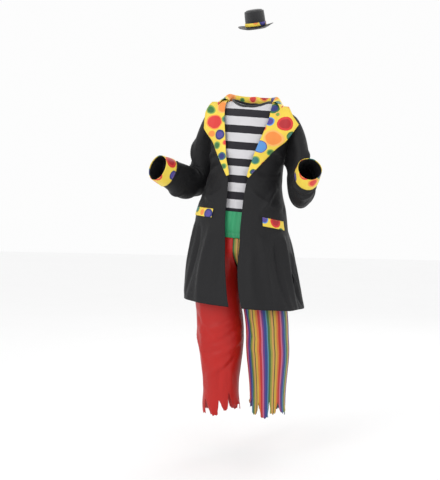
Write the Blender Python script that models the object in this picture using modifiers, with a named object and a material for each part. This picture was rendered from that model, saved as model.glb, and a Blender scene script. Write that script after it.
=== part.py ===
# An evil clown costume in the shape it has when worn, with nobody in it: a long coat with dotted lapels,
# a striped shirt, a green waistband, trousers of two colours with tattered hems, and a small round hat.
# Metres, +Z up, the front towards -Y and the wearer's left towards +X. The origin is the middle of the
# neck base, where the shoulders carry the clothes.

import math
from collections import namedtuple

import bmesh
import bpy
from mathutils import Matrix, Vector

# Driving sizes. Heights are above the floor that the wearer stands on.
HOLD_HEIGHT = 1.46
WALL = 0.002
SEAM = 0.0003
SHOULDER_GAP = 0.0008
LAY = 0.0008
ROLL = 0.085

CUFF_WIDTH = 0.055
POCKET_HEIGHT = 0.036
FOLD_TOP = 1.08
FOLD_FOOT = 0.65
FOLD_RADIUS = 0.2
BINDING_HEIGHT = 0.010
BAND_TOP = 1.038
BAND_FOOT = 0.929
GATHERS = 26
GATHER_DEPTH = 0.002
SHIRT_FOOT = 1.0
CROTCH = 0.75
LEG_SPREAD = 0.103
HAT_BRIM = 0.0735
HAT_CROWN = 0.042
HAT_HEIGHT = 0.074
HAT_FLAT = 0.024
HAT_DISH = 0.058
HAT_MIDDLE = Vector((0.016, 0.0, 1.800))
HAT_TILT = math.radians(14)
HAT_LEAN = math.radians(-4)
HAT_WALL = 0.0025
HAT_CURL = 0.010
HAT_SIDES = 22
HAT_BAND_FOOT = 0.0075
HAT_BAND_TOP = 0.022
HAT_BAND_WALL = 0.0022
BAND_HALF_WIDTH = 0.158
BAND_DEPTH = 0.118
BINDING_SEAT = 0.0016
LAPEL_LIFT = 0.0045
LAPEL_TIP_LIFT = 0.018
LAPEL_TOP_LIFT = 0.0025
LAPEL_OFF = 0.150
LAPEL_ROLL = 0.004
LAPEL_PEAK = (0.125, 0.165)
LAPEL_STEP = 0.004
COLLAR_TURN = 100
COLLAR_SEAT = 0.003
COLLAR_NARROWING = 0.45
COLLAR_STAND = 0.02
ARMHOLE_GAP = 0.0015
CUFF_PAST = 0.003
SLEEVE_SIDES = 14
CAP_RINGS = 5
CAP_REACH = 0.5
BEND_RINGS = 6
FOREARM_RINGS = 3
SEAM_ANGLE = 0.0055
LEG_SEAM_ANGLE = 0.0015
Shape = namedtuple("Shape", "columns levels climbs")


def table(columns, *rows):
    """A short table whose first column is its key."""
    row = namedtuple("Row", columns)
    return [row(*values) for values in rows]


AXIS = table(
    "height sideways",
    (0.17, -0.034),
    (0.55, -0.036),
    (0.70, -0.050),
    (0.92, -0.048),
    (1.05, -0.044),
    (1.20, -0.026),
    (1.40, -0.004),
    (1.50, 0.0),
)
COAT_RINGS = table(
    "height half_width front back",
    (0.65, 0.243, 0.178, 0.185),
    (0.80, 0.220, 0.158, 0.162),
    (0.95, 0.200, 0.143, 0.146),
    (1.05, 0.188, 0.137, 0.138),
    (1.12, 0.166, 0.134, 0.134),
    (1.18, 0.156, 0.133, 0.131),
    (1.245, 0.154, 0.130, 0.126),
)
SHIRT_RINGS = table(
    "height half_width front back",
    (0.98, 0.1525, 0.1158, 0.1158),
    (1.10, 0.142, 0.113, 0.110),
    (1.245, 0.139, 0.114, 0.108),
)
SHOULDERS = table(
    "out height",
    (0.0, 1.512),
    (0.08, 1.495),
    (0.13, 1.478),
    (0.17, 1.455),
    (0.20, 1.430),
    (0.24, 1.390),
)
# Where each front ends towards the middle, and where its lapel turns over.
FRONT_EDGES = table(
    "height right left",
    (0.65, 0.004, 0.050),
    (0.75, 0.014, 0.036),
    (0.90, 0.026, 0.034),
    (1.02, 0.030, 0.038),
    (1.18, 0.038, 0.044),
    (1.25, 0.060, 0.056),
    (1.31, 0.072, 0.069),
    (1.38, 0.087, 0.089),
    (1.44, 0.099, 0.100),
    (1.50, 0.100, 0.100),
)
# The outer edge of each lapel: straight up to its peak, and back in to where it meets the collar.
LAPELS = table(
    "place inner_height right right_height left left_height",
    (0.0, 1.185, 0.042, 1.180, 0.048, 1.180),
    (0.2, 1.240, 0.088, 1.250, 0.102, 1.262),
    (0.4, 1.300, 0.130, 1.312, 0.154, 1.338),
    (0.6, 1.370, 0.166, 1.368, 0.200, 1.408),
    (0.8, 1.435, 0.169, 1.428, 0.178, 1.432),
    (1.0, 1.485, 0.152, 1.457, 0.156, 1.455),
)
COLLAR = table(
    "out lift",
    (-0.0026, -0.001),
    (-0.0068, 0.016),
    (-0.003, 0.026),
    (0.005, 0.030),
    (0.016, 0.024),
    (0.034, 0.009),
    (0.056, 0.003),
)
# Folds of the hanging coat, worn in where it flares.
COAT_FOLDS = table(
    "angle width depth",
    (-150, 15, 0.012),
    (-112, 14, 0.016),
    (-62, 13, 0.009),
    (-28, 12, 0.006),
    (24, 12, 0.008),
    (66, 13, 0.007),
    (108, 15, 0.020),
    (142, 13, 0.010),
    (176, 14, 0.015),
)
LEGS = table(
    "height right left depth",
    (0.174, 0.076, 0.074, 0.085),
    (0.22, 0.079, 0.0745, 0.086),
    (0.286, 0.075, 0.076, 0.088),
    (0.37, 0.083, 0.083, 0.094),
    (0.454, 0.0945, 0.090, 0.100),
    (0.52, 0.099, 0.089, 0.104),
    (0.58, 0.099, 0.090, 0.105),
    (0.70, 0.097, 0.095, 0.105),
    (0.80, 0.098, 0.098, 0.110),
)
PELVIS = table(
    "height half_width depth",
    (0.75, 0.172, 0.130),
    (0.85, 0.168, 0.127),
    (0.929, 0.158, 0.118),
)
# Strips of each tattered hem, from the inner seam to the outer one, as shares of the panel's width.
TATTERS = {
    ("right", "front"): table(
        "end slit_top foot_start foot_end foot",
        (0.25, 0.277, 0.02, 0.19, 0.212),
        (0.43, 0.244, 0.285, 0.365, 0.197),
        (0.71, 0.246, 0.455, 0.60, 0.174),
        (1.0, 0.250, 0.735, 0.93, 0.176),
    ),
    ("right", "back"): table(
        "end slit_top foot_start foot_end foot",
        (0.22, 0.262, 0.03, 0.18, 0.190),
        (0.50, 0.250, 0.26, 0.45, 0.175),
        (0.74, 0.270, 0.54, 0.68, 0.205),
        (1.0, 0.255, 0.79, 0.95, 0.180),
    ),
    ("left", "front"): table(
        "end slit_top foot_start foot_end foot",
        (0.26, 0.260, 0.02, 0.235, 0.231),
        (0.43, 0.248, 0.28, 0.40, 0.189),
        (0.62, 0.252, 0.455, 0.60, 0.176),
        (0.78, 0.246, 0.64, 0.74, 0.193),
        (1.0, 0.250, 0.825, 0.975, 0.193),
    ),
    ("left", "back"): table(
        "end slit_top foot_start foot_end foot",
        (0.20, 0.255, 0.03, 0.16, 0.200),
        (0.45, 0.265, 0.25, 0.40, 0.178),
        (0.72, 0.250, 0.50, 0.66, 0.186),
        (1.0, 0.262, 0.77, 0.96, 0.175),
    ),
}
Arm = namedtuple("Arm", "start elbow cuff across deep cuff_across cuff_deep bend droop")
ARMS = {
    "right": Arm(
        start=Vector((-0.225, 0.034, 1.222)),
        elbow=Vector((-0.239, 0.045, 1.138)),
        cuff=Vector((-0.3585, -0.165, 1.218)),
        across=0.044,
        deep=0.062,
        cuff_across=0.050,
        cuff_deep=0.052,
        bend=0.068,
        droop=0.018,
    ),
    "left": Arm(
        start=Vector((0.200, -0.015, 1.190)),
        elbow=Vector((0.208, -0.040, 1.092)),
        cuff=Vector((0.292, -0.215, 1.208)),
        across=0.046,
        deep=0.060,
        cuff_across=0.046,
        cuff_deep=0.048,
        bend=0.066,
        droop=0.018,
    ),
}
Cut = namedtuple("Cut", "rings armpit shoulder below neck_half neck_front neck_back folds")
COAT = Cut(COAT_RINGS, 1.245, 0.215, 0.0, 0.100, 0.0, 0.062, COAT_FOLDS)
SHIRT = Cut(SHIRT_RINGS, 1.245, 0.200, 0.0032, 0.085, 0.070, 0.056, [])
DOME_POWER = 0.8
ARMHOLE_TURN = 30.0

Paint = namedtuple("Paint", "colour roughness")
BLACK = Paint((0.012, 0.012, 0.014), 0.6)
RED = Paint((0.75, 0.035, 0.02), 0.4)
GREEN = Paint((0.02, 0.30, 0.10), 0.35)
YELLOW = Paint((0.95, 0.70, 0.10), 0.5)
STRIPED = Paint((0.55, 0.55, 0.55), 0.8)
RAINBOW = Paint((0.85, 0.35, 0.25), 0.5)


def smooth(value, low, high):
    """0 below low, 1 above high and a soft step between."""
    share = min(max((value - low) / (high - low), 0.0), 1.0)
    return share * share * (3 - 2 * share)


def mix(first, second, share):
    return first * (1 - share) + second * share


def spread(first, last, count):
    """Evenly spaced numbers from first to last, count + 1 of them."""
    return [first + (last - first) * i / count for i in range(count + 1)]


def read(rows, column, key):
    """A column of a table at a key, on a smooth curve through the rows."""
    keys = [row[0] for row in rows]
    values = [getattr(row, column) for row in rows]
    key = min(max(key, keys[0]), keys[-1])
    last = len(keys) - 1
    at = min(max(i for i in range(last + 1) if keys[i] <= key), last - 1)

    def slope(i):
        low = max(i - 1, 0)
        high = min(i + 1, last)
        return (values[high] - values[low]) / (keys[high] - keys[low])

    step = keys[at + 1] - keys[at]
    share = (key - keys[at]) / step
    start = values[at] + slope(at) * step * share
    end = values[at + 1] - slope(at + 1) * step * (1 - share)
    return mix(start, end, smooth(share, 0, 1))


def straight(rows, column, key):
    """A column of a table at a key, on straight lines between the rows."""
    low = max((row for row in rows[:-1] if row[0] <= key), key=lambda row: row[0])
    high = rows[rows.index(low) + 1]
    return mix(getattr(low, column), getattr(high, column), (key - low[0]) / (high[0] - low[0]))


def posed(x, y, height):
    """A point of the upright clothes, moved to where the leaning wearer has it."""
    roll = ROLL * smooth(height, 0.2, 0.7)
    return Vector((x + read(AXIS, "sideways", height), y, height - roll * x - HOLD_HEIGHT))


def depth_of(cut, height, angle):
    column = "front" if math.cos(angle) > 0 else "back"
    return read(cut.rings, column, height)


def hanging(cut, angle, height):
    """A point of the body below the armpits. The angle is 0 at the front and grows towards the left side."""
    out = 0.0
    for fold in cut.folds:
        turn = (math.degrees(angle) - fold.angle + 180) % 360 - 180
        out += fold.depth * math.exp(-((turn / fold.width) ** 2))
    loose = 1 + out * smooth(-height, -FOLD_TOP, -FOLD_FOOT) / FOLD_RADIUS
    x = read(cut.rings, "half_width", height) * math.sin(angle) * loose
    y = -depth_of(cut, height, angle) * math.cos(angle) * loose
    return x, y, height


def ridge(cut, x):
    return read(SHOULDERS, "height", abs(x)) - cut.below


def doming(cut, angle, climb):
    """A point above the armpits. climb is 0 there and 1 on the shoulder seam."""
    rise = climb * math.pi / 2
    half = mix(read(cut.rings, "half_width", cut.armpit), cut.shoulder, climb)
    x = half * math.sin(angle)
    depth = depth_of(cut, cut.armpit, angle) * abs(math.cos(angle)) * math.cos(rise) ** DOME_POWER
    height = mix(cut.armpit, ridge(cut, x), math.sin(rise))
    return x, -math.copysign(depth, math.cos(angle)), height


def neck_climb(cut, angle, neck_depth):
    """How far a column climbs before it meets the neck opening."""
    climb = 1.0
    for _ in range(12):
        x, _, _ = doming(cut, angle, climb)
        inside = 1 - (x / cut.neck_half) ** 2
        if inside <= 0 or neck_depth == 0:
            return 1.0
        depth = depth_of(cut, cut.armpit, angle) * abs(math.cos(angle))
        share = min(neck_depth * math.sqrt(inside) / depth, 1.0)
        climb = mix(climb, math.acos(share ** (1 / DOME_POWER)) * 2 / math.pi, 0.7)
    return climb


def armhole_angle(climb):
    return math.radians(90 - ARMHOLE_TURN * smooth(climb, 0, 0.7))


def front_at(cut, x, height):
    """The point of the front that lies at x and a height, on the upright clothes."""
    if height <= cut.armpit:
        half = read(cut.rings, "half_width", height)
        return hanging(cut, math.asin(max(min(x / half, 1), -1)), height)
    climb = math.asin(min((height - cut.armpit) / (ridge(cut, x) - cut.armpit), 1)) * 2 / math.pi
    half = mix(read(cut.rings, "half_width", cut.armpit), cut.shoulder, climb)
    return doming(cut, math.asin(max(min(x / half, 1), -1)), climb)


def front_edge(side, height):
    sign = 1 if side == "left" else -1
    return sign * read(FRONT_EDGES, side, height)


def edge_angle(side, height=None, climb=None):
    """The angle at which a coat front ends, at a height or above the armpits at a climb."""
    if climb is None:
        return math.asin(front_edge(side, height) / read(COAT.rings, "half_width", height))
    angle = 0.3
    for _ in range(12):
        _, _, height = doming(COAT, angle, climb)
        half = mix(read(COAT.rings, "half_width", COAT.armpit), COAT.shoulder, climb)
        angle = math.asin(front_edge(side, height) / half)
    return angle


def make_object(name, points, faces, paint, thickness=0.0, outward=False):
    """One named object. A thickness makes a wall of the surface, inward from its points or outward."""
    mesh = bpy.data.meshes.new(name)
    mesh.from_pydata([tuple(p) for p in points], [], faces)
    mesh.update()
    made = bpy.data.objects.new(name, mesh)
    costume.objects.link(made)
    material = bpy.data.materials.new(name + "_material")
    material.use_nodes = True
    shader = material.node_tree.nodes["Principled BSDF"]
    shader.inputs["Base Color"].default_value = (*paint.colour, 1)
    shader.inputs["Roughness"].default_value = paint.roughness
    mesh.materials.append(material)
    mesh.shade_smooth()
    if thickness:
        wall = made.modifiers.new("wall", "SOLIDIFY")
        wall.thickness = thickness
        wall.offset = 1 if outward else -1
    return made


def facing_out(rows, middle):
    """Whether the quads of a grid, in the order of grid_faces, face away from the middle."""
    row = len(rows) // 2
    column = len(rows[0]) // 2
    here = rows[row][column]
    along = rows[row][(column + 1) % len(rows[0])] - here
    up = rows[row - 1][column] - here
    return along.cross(-up).dot(here - middle) > 0


def grid_faces(row_count, columns, closed):
    last = columns if closed else columns - 1
    faces = []
    for row in range(row_count - 1):
        for column in range(last):
            near = row * columns + column
            side = row * columns + (column + 1) % columns
            faces.append((near, side, side + columns, near + columns))
    return faces


def cloth(name, rows, paint, middle, closed=False, thickness=WALL, outward=False):
    """A wall of cloth through rows of points. The middle is a point inside, that its outer face looks away from."""
    faces = grid_faces(len(rows), len(rows[0]), closed)
    if not facing_out(rows, middle):
        faces = [face[::-1] for face in faces]
    points = [point for row in rows for point in row]
    return make_object(name, points, faces, paint, thickness, outward)


def on_axis(height):
    return posed(0, 0, height)


def torso_rows(cut, start, end, foot, shape, neck_depth=0.0):
    """Rows of a body panel, foot to shoulder seam. start and end give its edge angles at each level."""
    rows = []
    for height in spread(foot, cut.armpit, shape.levels)[:-1]:
        angles = spread(start(height, None), end(height, None), shape.columns)
        rows.append([posed(*hanging(cut, angle, height)) for angle in angles])
    for share in spread(0, 1, shape.climbs):
        row = []
        for angle in spread(start(None, share), end(None, share), shape.columns):
            top = neck_climb(cut, angle, neck_depth)
            row.append(posed(*doming(cut, angle, share * top)))
        rows.append(row)
    return rows


def side_seam(sign, face):
    """The edge of a panel at the side seam and the armhole, as a function of a height or a climb."""

    def edge(height, climb):
        turn = math.radians(90) if climb is None else armhole_angle(climb)
        angle = turn - SEAM_ANGLE
        return sign * (angle if face == "front" else math.pi - angle)

    return edge


def part_shoulders(rows, sign):
    """Keeps the shoulder seam of a panel on its own side of the ridge."""
    for point in rows[-1]:
        if abs(point.y) < SHOULDER_GAP:
            point.y = sign * SHOULDER_GAP
    return rows


def coat_front(side):
    sign = 1 if side == "left" else -1
    seam = side_seam(sign, "front")

    def inner(height, climb):
        return edge_angle(side, height, climb)

    rows = torso_rows(COAT, inner, seam, COAT_RINGS[0].height, Shape(9, 10, 6))
    cloth("coat_front_" + side, part_shoulders(rows, -1), BLACK, on_axis(1.0))


def coat_back():
    edges = side_seam(1, "back"), side_seam(-1, "back")

    def last(height, climb):
        return 2 * math.pi + edges[1](height, climb)

    rows = torso_rows(COAT, edges[0], last, COAT_RINGS[0].height, Shape(18, 10, 6), COAT.neck_back)
    cloth("coat_back", part_shoulders(rows, 1), BLACK, on_axis(1.0))


def shirt(face):
    sign = -1 if face == "front" else 1
    if face == "front":
        start, end = side_seam(-1, face), side_seam(1, face)
        depth = SHIRT.neck_front
    else:
        start, other = side_seam(1, face), side_seam(-1, face)
        depth = SHIRT.neck_back

        def end(height, climb):
            return 2 * math.pi + other(height, climb)

    rows = torso_rows(SHIRT, start, end, SHIRT_FOOT, Shape(12, 5, 5), depth)
    cloth("shirt_" + face, part_shoulders(rows, sign), STRIPED, on_axis(1.15))


def neck_binding():
    """A narrow band that stands on the shirt's neck edge."""
    rows = []
    for lift in (BINDING_SEAT, BINDING_HEIGHT):
        row = []
        for turn in spread(0, 2 * math.pi, 24)[:-1]:
            depth = SHIRT.neck_front if math.cos(turn) > 0 else SHIRT.neck_back
            x = SHIRT.neck_half * math.sin(turn)
            y = -depth * math.cos(turn)
            reach = depth_of(SHIRT, SHIRT.armpit, turn) * math.sqrt(1 - (x / SHIRT.shoulder) ** 2)
            rise = math.acos(min(abs(y) / reach, 1) ** (1 / DOME_POWER))
            height = mix(SHIRT.armpit, ridge(SHIRT, x), math.sin(rise))
            shrink = 1 - lift * 0.35 / SHIRT.neck_half
            row.append(posed(x * shrink, y * shrink, height + lift))
        rows.append(row)
    cloth("neck_binding", rows, BLACK, on_axis(1.48), closed=True)


def waistband():
    """The gathered band between shirt and trousers."""
    rows = []
    for height in (BAND_FOOT + SEAM, (BAND_FOOT + BAND_TOP) / 2, BAND_TOP):
        row = []
        for turn in spread(0, 2 * math.pi, GATHERS * 3)[:-1]:
            x, y = BAND_HALF_WIDTH * math.sin(turn), -BAND_DEPTH * math.cos(turn)
            wave = 1 + GATHER_DEPTH * math.cos(turn * GATHERS) / math.hypot(x, y)
            row.append(posed(x * wave, y * wave, height))
        rows.append(row)
    cloth("waistband", rows, GREEN, on_axis(0.98), closed=True)


def lapel(side):
    """A wide lapel that lies on its front, from the fold to a peak."""
    sign = 1 if side == "left" else -1
    rows = []
    for place in spread(0, 1, 10):
        inner_height = straight(LAPELS, "inner_height", place)
        outer_height = straight(LAPELS, side + "_height", place)
        inner_x = read(FRONT_EDGES, side, inner_height) - LAPEL_ROLL
        outer_x = straight(LAPELS, side, place)
        row = []
        for share in spread(0, 1, 4):
            x = sign * mix(inner_x, outer_x, share)
            height = mix(inner_height, outer_height, share)
            on_chest = sign * min(abs(x), LAPEL_OFF)
            here = Vector(front_at(COAT, on_chest, height))
            inward = Vector(front_at(COAT, on_chest - sign * LAPEL_STEP, height)) - here
            downward = Vector(front_at(COAT, on_chest, height - LAPEL_STEP)) - here
            out = inward.cross(downward).normalized() * sign
            lift = mix(LAY, LAPEL_LIFT, smooth(share, 0, 0.3)) + LAPEL_TIP_LIFT * smooth(abs(x), *LAPEL_PEAK)
            lift += LAPEL_TOP_LIFT * smooth(place, 0.75, 1)
            past = (abs(x) - abs(on_chest)) * Vector((sign, 0.5, 0))
            row.append(posed(*(here + out * lift + past)))
        rows.append(row)
    cloth("lapel_" + side, rows, YELLOW, on_axis(1.3), outward=True)


def dome_at(x, y):
    """The height of the coat's shoulders over x and y, on the upright clothes."""
    climb = 0.8
    for _ in range(16):
        half = mix(read(COAT_RINGS, "half_width", COAT.armpit), COAT.shoulder, climb)
        angle = math.asin(min(abs(x) / half, 0.99))
        if y > 0:
            angle = math.pi - angle
        reach = depth_of(COAT, COAT.armpit, angle) * abs(math.cos(angle))
        climb = mix(climb, math.acos(min(abs(y) / reach, 1) ** (1 / DOME_POWER)) * 2 / math.pi, 0.6)
    return mix(COAT.armpit, ridge(COAT, x), math.sin(climb * math.pi / 2))


def collar():
    """A low stand round the back of the neck that turns over and lies on the shoulders."""
    columns = []
    for turn in spread(-COLLAR_TURN, COLLAR_TURN, 16):
        angle = math.radians(turn)
        out = Vector((-math.sin(angle), math.cos(angle)))
        neck = Vector((-COAT.neck_half * math.sin(angle), COAT.neck_back * math.cos(angle)))
        column = []
        for point in COLLAR:
            here = neck + out * point.out * (1 if point.out < 0 else 1 - COLLAR_NARROWING * max(out.y, 0))
            under = dome_at(*(here if point.out > 0 else neck))
            standing = max(dome_at(*neck) + point.lift, under + 2 * COLLAR_SEAT)
            height = standing if point.out < COLLAR_STAND else under + point.lift
            column.append(posed(here.x, here.y, height if point.lift > 0 else under + point.lift))
        columns.append(column)
    rows = [[column[i] for column in columns] for i in range(len(COLLAR))]
    faces = grid_faces(len(rows), len(columns), False)
    points = [point for row in rows for point in row]
    make_object("collar", points, faces, YELLOW, WALL)


def pocket(side, start, end, height, drop):
    """A flap on the front, from one angle in degrees to another."""
    sign = 1 if side == "left" else -1
    rows = []
    for lift in (0.0, POCKET_HEIGHT / 2, POCKET_HEIGHT):
        row = []
        for share in spread(0, 1, 6):
            angle = sign * math.radians(mix(start, end, share))
            x, y, level = hanging(COAT, angle, height + lift - drop * share)
            away = 1 + (LAY + SEAM) / math.hypot(x, y)
            row.append(posed(x * away, y * away, level))
        rows.append(row)
    cloth("pocket_" + side, rows, YELLOW, on_axis(height), outward=True)


def armhole(side):
    """The loop that a sleeve is sewn to: from the shoulder down the front, and up the back."""
    sign = 1 if side == "left" else -1
    loop = []
    for step in range(SLEEVE_SIDES):
        turn = 2 * step / SLEEVE_SIDES
        climb = 1 - turn if turn <= 1 else turn - 1
        angle = armhole_angle(climb)
        if turn > 1:
            angle = math.pi - angle
        loop.append(posed(*doming(COAT, sign * angle, climb)) + Vector((sign * ARMHOLE_GAP, 0, 0)))
    return loop


def arm_path(side):
    """The sleeve's rings round the bent elbow: middle, way ahead, two radii and how far the elbow droops."""
    arm = ARMS[side]
    start, elbow, cuff = (point - Vector((0, 0, HOLD_HEIGHT)) for point in (arm.start, arm.elbow, arm.cuff))
    upper = (elbow - start).normalized()
    lower = (cuff - elbow).normalized()
    hinge = upper.cross(lower).normalized()
    bend = upper.angle(lower)
    first = elbow - upper * arm.bend * math.tan(bend / 2)
    pivot = first + hinge.cross(upper) * arm.bend
    path = []
    for share in spread(0, 1, BEND_RINGS):
        turned = Matrix.Rotation(bend * share, 3, hinge)
        droop = arm.droop * smooth(share, 0, 0.5)
        path.append((pivot + turned @ (first - pivot), turned @ upper, arm.across, arm.deep, droop))
    last = path[-1][0]
    for share in spread(0, 1, FOREARM_RINGS)[1:]:
        across = mix(arm.across, arm.cuff_across, share)
        deep = mix(arm.deep, arm.cuff_deep, share)
        path.append((last.lerp(cuff, share), lower, across, deep, arm.droop * (1 - smooth(share, 0, 0.9))))
    return hinge, path


def arm_rings(side, looser=0.0):
    """The rings of points along that path. Each starts on the outer side and goes to the front first."""
    hinge, path = arm_path(side)
    outer = hinge if hinge.x * (1 if side == "left" else -1) > 0 else -hinge
    front_sign = 1 if hinge.cross(path[0][1]).y < 0 else -1
    rings = []
    for middle, ahead, across, deep, droop in path:
        front = hinge.cross(ahead) * front_sign
        ring = []
        for step in range(SLEEVE_SIDES):
            turn = 2 * math.pi * step / SLEEVE_SIDES
            out = outer * (across + looser) * math.cos(turn)
            reach = deep if turn < math.pi else deep + droop
            ring.append(middle + out + front * (reach + looser) * math.sin(turn))
        rings.append(ring)
    return rings


def middle_of(ring):
    return sum(ring, Vector()) / len(ring)


def sleeve(side):
    """From the armhole over the shoulder's cap, then down the arm and round the elbow to the wrist."""
    sign = 1 if side == "left" else -1
    hole = armhole(side)
    rings = arm_rings(side)
    ahead = arm_path(side)[1][0][1]
    rows = [hole]
    for share in spread(0, 1, CAP_RINGS)[1:-1]:
        row = []
        for start, end in zip(hole, rings[0]):
            reach = (end - start).length
            leave = Vector((sign, 0, -1)).normalized() * reach * CAP_REACH
            land = ahead * reach * CAP_REACH
            first = start + leave * share
            last = end - land * (1 - share)
            row.append(first.lerp(last, smooth(share, 0, 1)))
        rows.append(row)
    rows += rings
    cloth("sleeve_" + side, rows, BLACK, middle_of(rows[len(rows) // 2]), closed=True)


def cuff(side):
    """A wide band turned back over the end of the sleeve."""
    rings = arm_rings(side, SEAM)
    before, end = rings[-2], rings[-1]
    length = (middle_of(end) - middle_of(before)).length
    rows = []
    for back, flare in ((CUFF_WIDTH, 0.05), (CUFF_WIDTH / 2, 0.02), (-CUFF_PAST, 0.0)):
        row = [a.lerp(b, 1 - back / length) for a, b in zip(before, end)]
        middle = middle_of(row)
        rows.append([point + (point - middle) * flare for point in row])
    cloth("cuff_" + side, rows, YELLOW, middle_of(rows[1]), closed=True, outward=True)


def leg_point(side, face, share, height):
    """A point of a trouser panel. The share runs from the inner seam, or the middle one, to the outer one."""
    sign = 1 if side == "left" else -1
    front = -1 if face == "front" else 1
    turn = mix(LEG_SEAM_ANGLE, math.pi - LEG_SEAM_ANGLE, share)
    half = read(LEGS, side, height)
    x = LEG_SPREAD - half * math.cos(turn)
    y = front * read(LEGS, "depth", height) * math.sin(turn)
    if height > CROTCH:
        turn = mix(LEG_SEAM_ANGLE, math.pi / 2 - LEG_SEAM_ANGLE, share)
        waist_x = read(PELVIS, "half_width", height) * math.sin(turn)
        waist_y = front * read(PELVIS, "depth", height) * math.cos(turn)
        up = smooth(height, CROTCH, BAND_FOOT - 0.04)
        x = mix(x, waist_x, up)
        y = mix(y, waist_y, up)
    return posed(sign * x, y, height)


def trouser(side, face):
    """One panel of a leg, from the waistband down to the strips of its tattered hem."""
    strips = TATTERS[side, face]
    shares = [0.0]
    tops = [strips[-1].slit_top]
    for strip in strips:
        shares += [(shares[-1] + strip.end) / 2, strip.end]
        tops += [(tops[-1] + strip.slit_top) / 2, strip.slit_top]
    highest = max(tops)
    heights = spread(BAND_FOOT - SEAM, CROTCH, 5) + spread(CROTCH, highest + 0.04, 7)[1:]
    rows = [[leg_point(side, face, share, height) for share in shares] for height in heights]
    rows.append([leg_point(side, face, share, top) for share, top in zip(shares, tops)])
    points = [point for row in rows for point in row]
    faces = grid_faces(len(rows), len(shares), False)
    edge = len(points) - len(shares)
    for number, strip in enumerate(strips):
        above = [edge + number * 2 + step for step in range(3)]
        for down in (0.5, 1.0):
            foot = [strip.foot_start, (strip.foot_start + strip.foot_end) / 2, strip.foot_end]
            below = []
            for step in range(3):
                at = number * 2 + step
                share = mix(shares[at], foot[step], down ** 0.8)
                below.append(len(points))
                points.append(leg_point(side, face, share, mix(tops[at], strip.foot, down)))
            for step in range(2):
                faces.append((above[step], above[step + 1], below[step + 1], below[step]))
            above = below
    if (side == "left") != (face == "front"):
        faces = [quad[::-1] for quad in faces]
    name = "trouser_" + side + "_" + face
    make_object(name, points, faces, RED if side == "right" else RAINBOW, WALL)


def turned(name, profile, paint):
    """A piece of the hat, turned about its upright axis from a closed outline of (out, up) points."""
    rows = []
    for out, up in profile:
        row = []
        for angle in spread(0, 2 * math.pi, HAT_SIDES)[:-1]:
            curl = HAT_CURL * smooth(out, HAT_CROWN, HAT_BRIM) * (1 + math.cos(2 * angle)) / 2
            row.append(Vector((out * math.cos(angle), out * math.sin(angle), up + curl)))
        rows.append(row)
    faces = grid_faces(len(rows) + 1, HAT_SIDES, True)
    points = [point for row in rows for point in row]
    faces = [tuple(corner % len(points) for corner in face) for face in faces]
    made = make_object(name, points, faces, paint)
    made.location = HAT_MIDDLE - Vector((0, 0, HOLD_HEIGHT))
    made.rotation_euler = (HAT_TILT, HAT_LEAN, 0)
    return made


def hat():
    """Brim and crown in one wall, open below."""
    edge, dish, crown, flat, top = HAT_BRIM, HAT_DISH, HAT_CROWN, HAT_FLAT, HAT_HEIGHT
    outside = [(edge, 0.002), (dish, 0.000), (crown + 0.002, 0.002), (crown, 0.006)]
    outside += [(crown - 0.001, top - 0.018), (crown - 0.006, top - 0.006), (flat, top)]
    inside = [(flat, top - HAT_WALL), (crown - 0.008, top - 0.008), (crown - 0.004, top - 0.020)]
    inside += [(crown - 0.003, 0.002), (dish, -HAT_WALL), (edge, -0.0005)]
    return outside + inside


def hat_pieces():
    made = turned("hat", hat(), BLACK)
    close_crown(made.data)
    near = HAT_CROWN + LAY / 2
    far = near + HAT_BAND_WALL
    band = [(far, HAT_BAND_TOP), (near, HAT_BAND_TOP), (near, HAT_BAND_FOOT), (far, HAT_BAND_FOOT)]
    turned("hat_band", band, YELLOW)


def close_crown(mesh):
    """Takes away the short wall between the crown's two inner rings and caps each of them."""
    cage = bmesh.new()
    cage.from_mesh(mesh)
    rim = [face for face in cage.faces if all(math.hypot(v.co.x, v.co.y) < HAT_FLAT * 1.02 for v in face.verts)]
    bmesh.ops.delete(cage, geom=rim, context="FACES_ONLY")
    bmesh.ops.holes_fill(cage, edges=[edge for edge in cage.edges if edge.is_boundary], sides=0)
    bmesh.ops.recalc_face_normals(cage, faces=cage.faces)
    cage.to_mesh(mesh)
    cage.free()


for old in list(bpy.data.objects):
    bpy.data.objects.remove(old)
costume = bpy.data.collections.new("evil_clown_costume")
bpy.context.scene.collection.children.link(costume)
coat_back()
shirt("front")
shirt("back")
neck_binding()
waistband()
collar()
pocket("right", 27, 67, 1.006, 0.0)
pocket("left", 38, 75, 0.990, 0.014)
for side in ("right", "left"):
    coat_front(side)
    sleeve(side)
    lapel(side)
    cuff(side)
    trouser(side, "front")
    trouser(side, "back")
hat_pieces()
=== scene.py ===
# Looks of a worn clown costume with nobody in it. Metres, front towards -Y, wearer's left towards +X.
# Heights are above the floor; the frame's origin is at the neck base.
import math
from collections import namedtuple

import bmesh
import bpy
import numpy as np
from mathutils import Matrix, Vector


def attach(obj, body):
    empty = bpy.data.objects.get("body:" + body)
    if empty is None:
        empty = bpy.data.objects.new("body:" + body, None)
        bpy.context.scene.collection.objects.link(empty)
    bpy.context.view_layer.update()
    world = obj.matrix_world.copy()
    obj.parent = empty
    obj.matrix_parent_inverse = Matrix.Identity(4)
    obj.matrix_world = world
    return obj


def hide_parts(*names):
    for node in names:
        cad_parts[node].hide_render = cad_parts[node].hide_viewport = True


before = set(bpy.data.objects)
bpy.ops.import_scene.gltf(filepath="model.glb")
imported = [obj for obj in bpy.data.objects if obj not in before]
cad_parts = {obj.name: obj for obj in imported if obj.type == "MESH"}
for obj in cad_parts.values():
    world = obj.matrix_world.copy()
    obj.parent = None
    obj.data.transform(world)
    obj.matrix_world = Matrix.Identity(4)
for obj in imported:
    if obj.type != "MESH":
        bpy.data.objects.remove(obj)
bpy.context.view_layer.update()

holdHeight = 1.46
clothThickness = 0.0013


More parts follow.
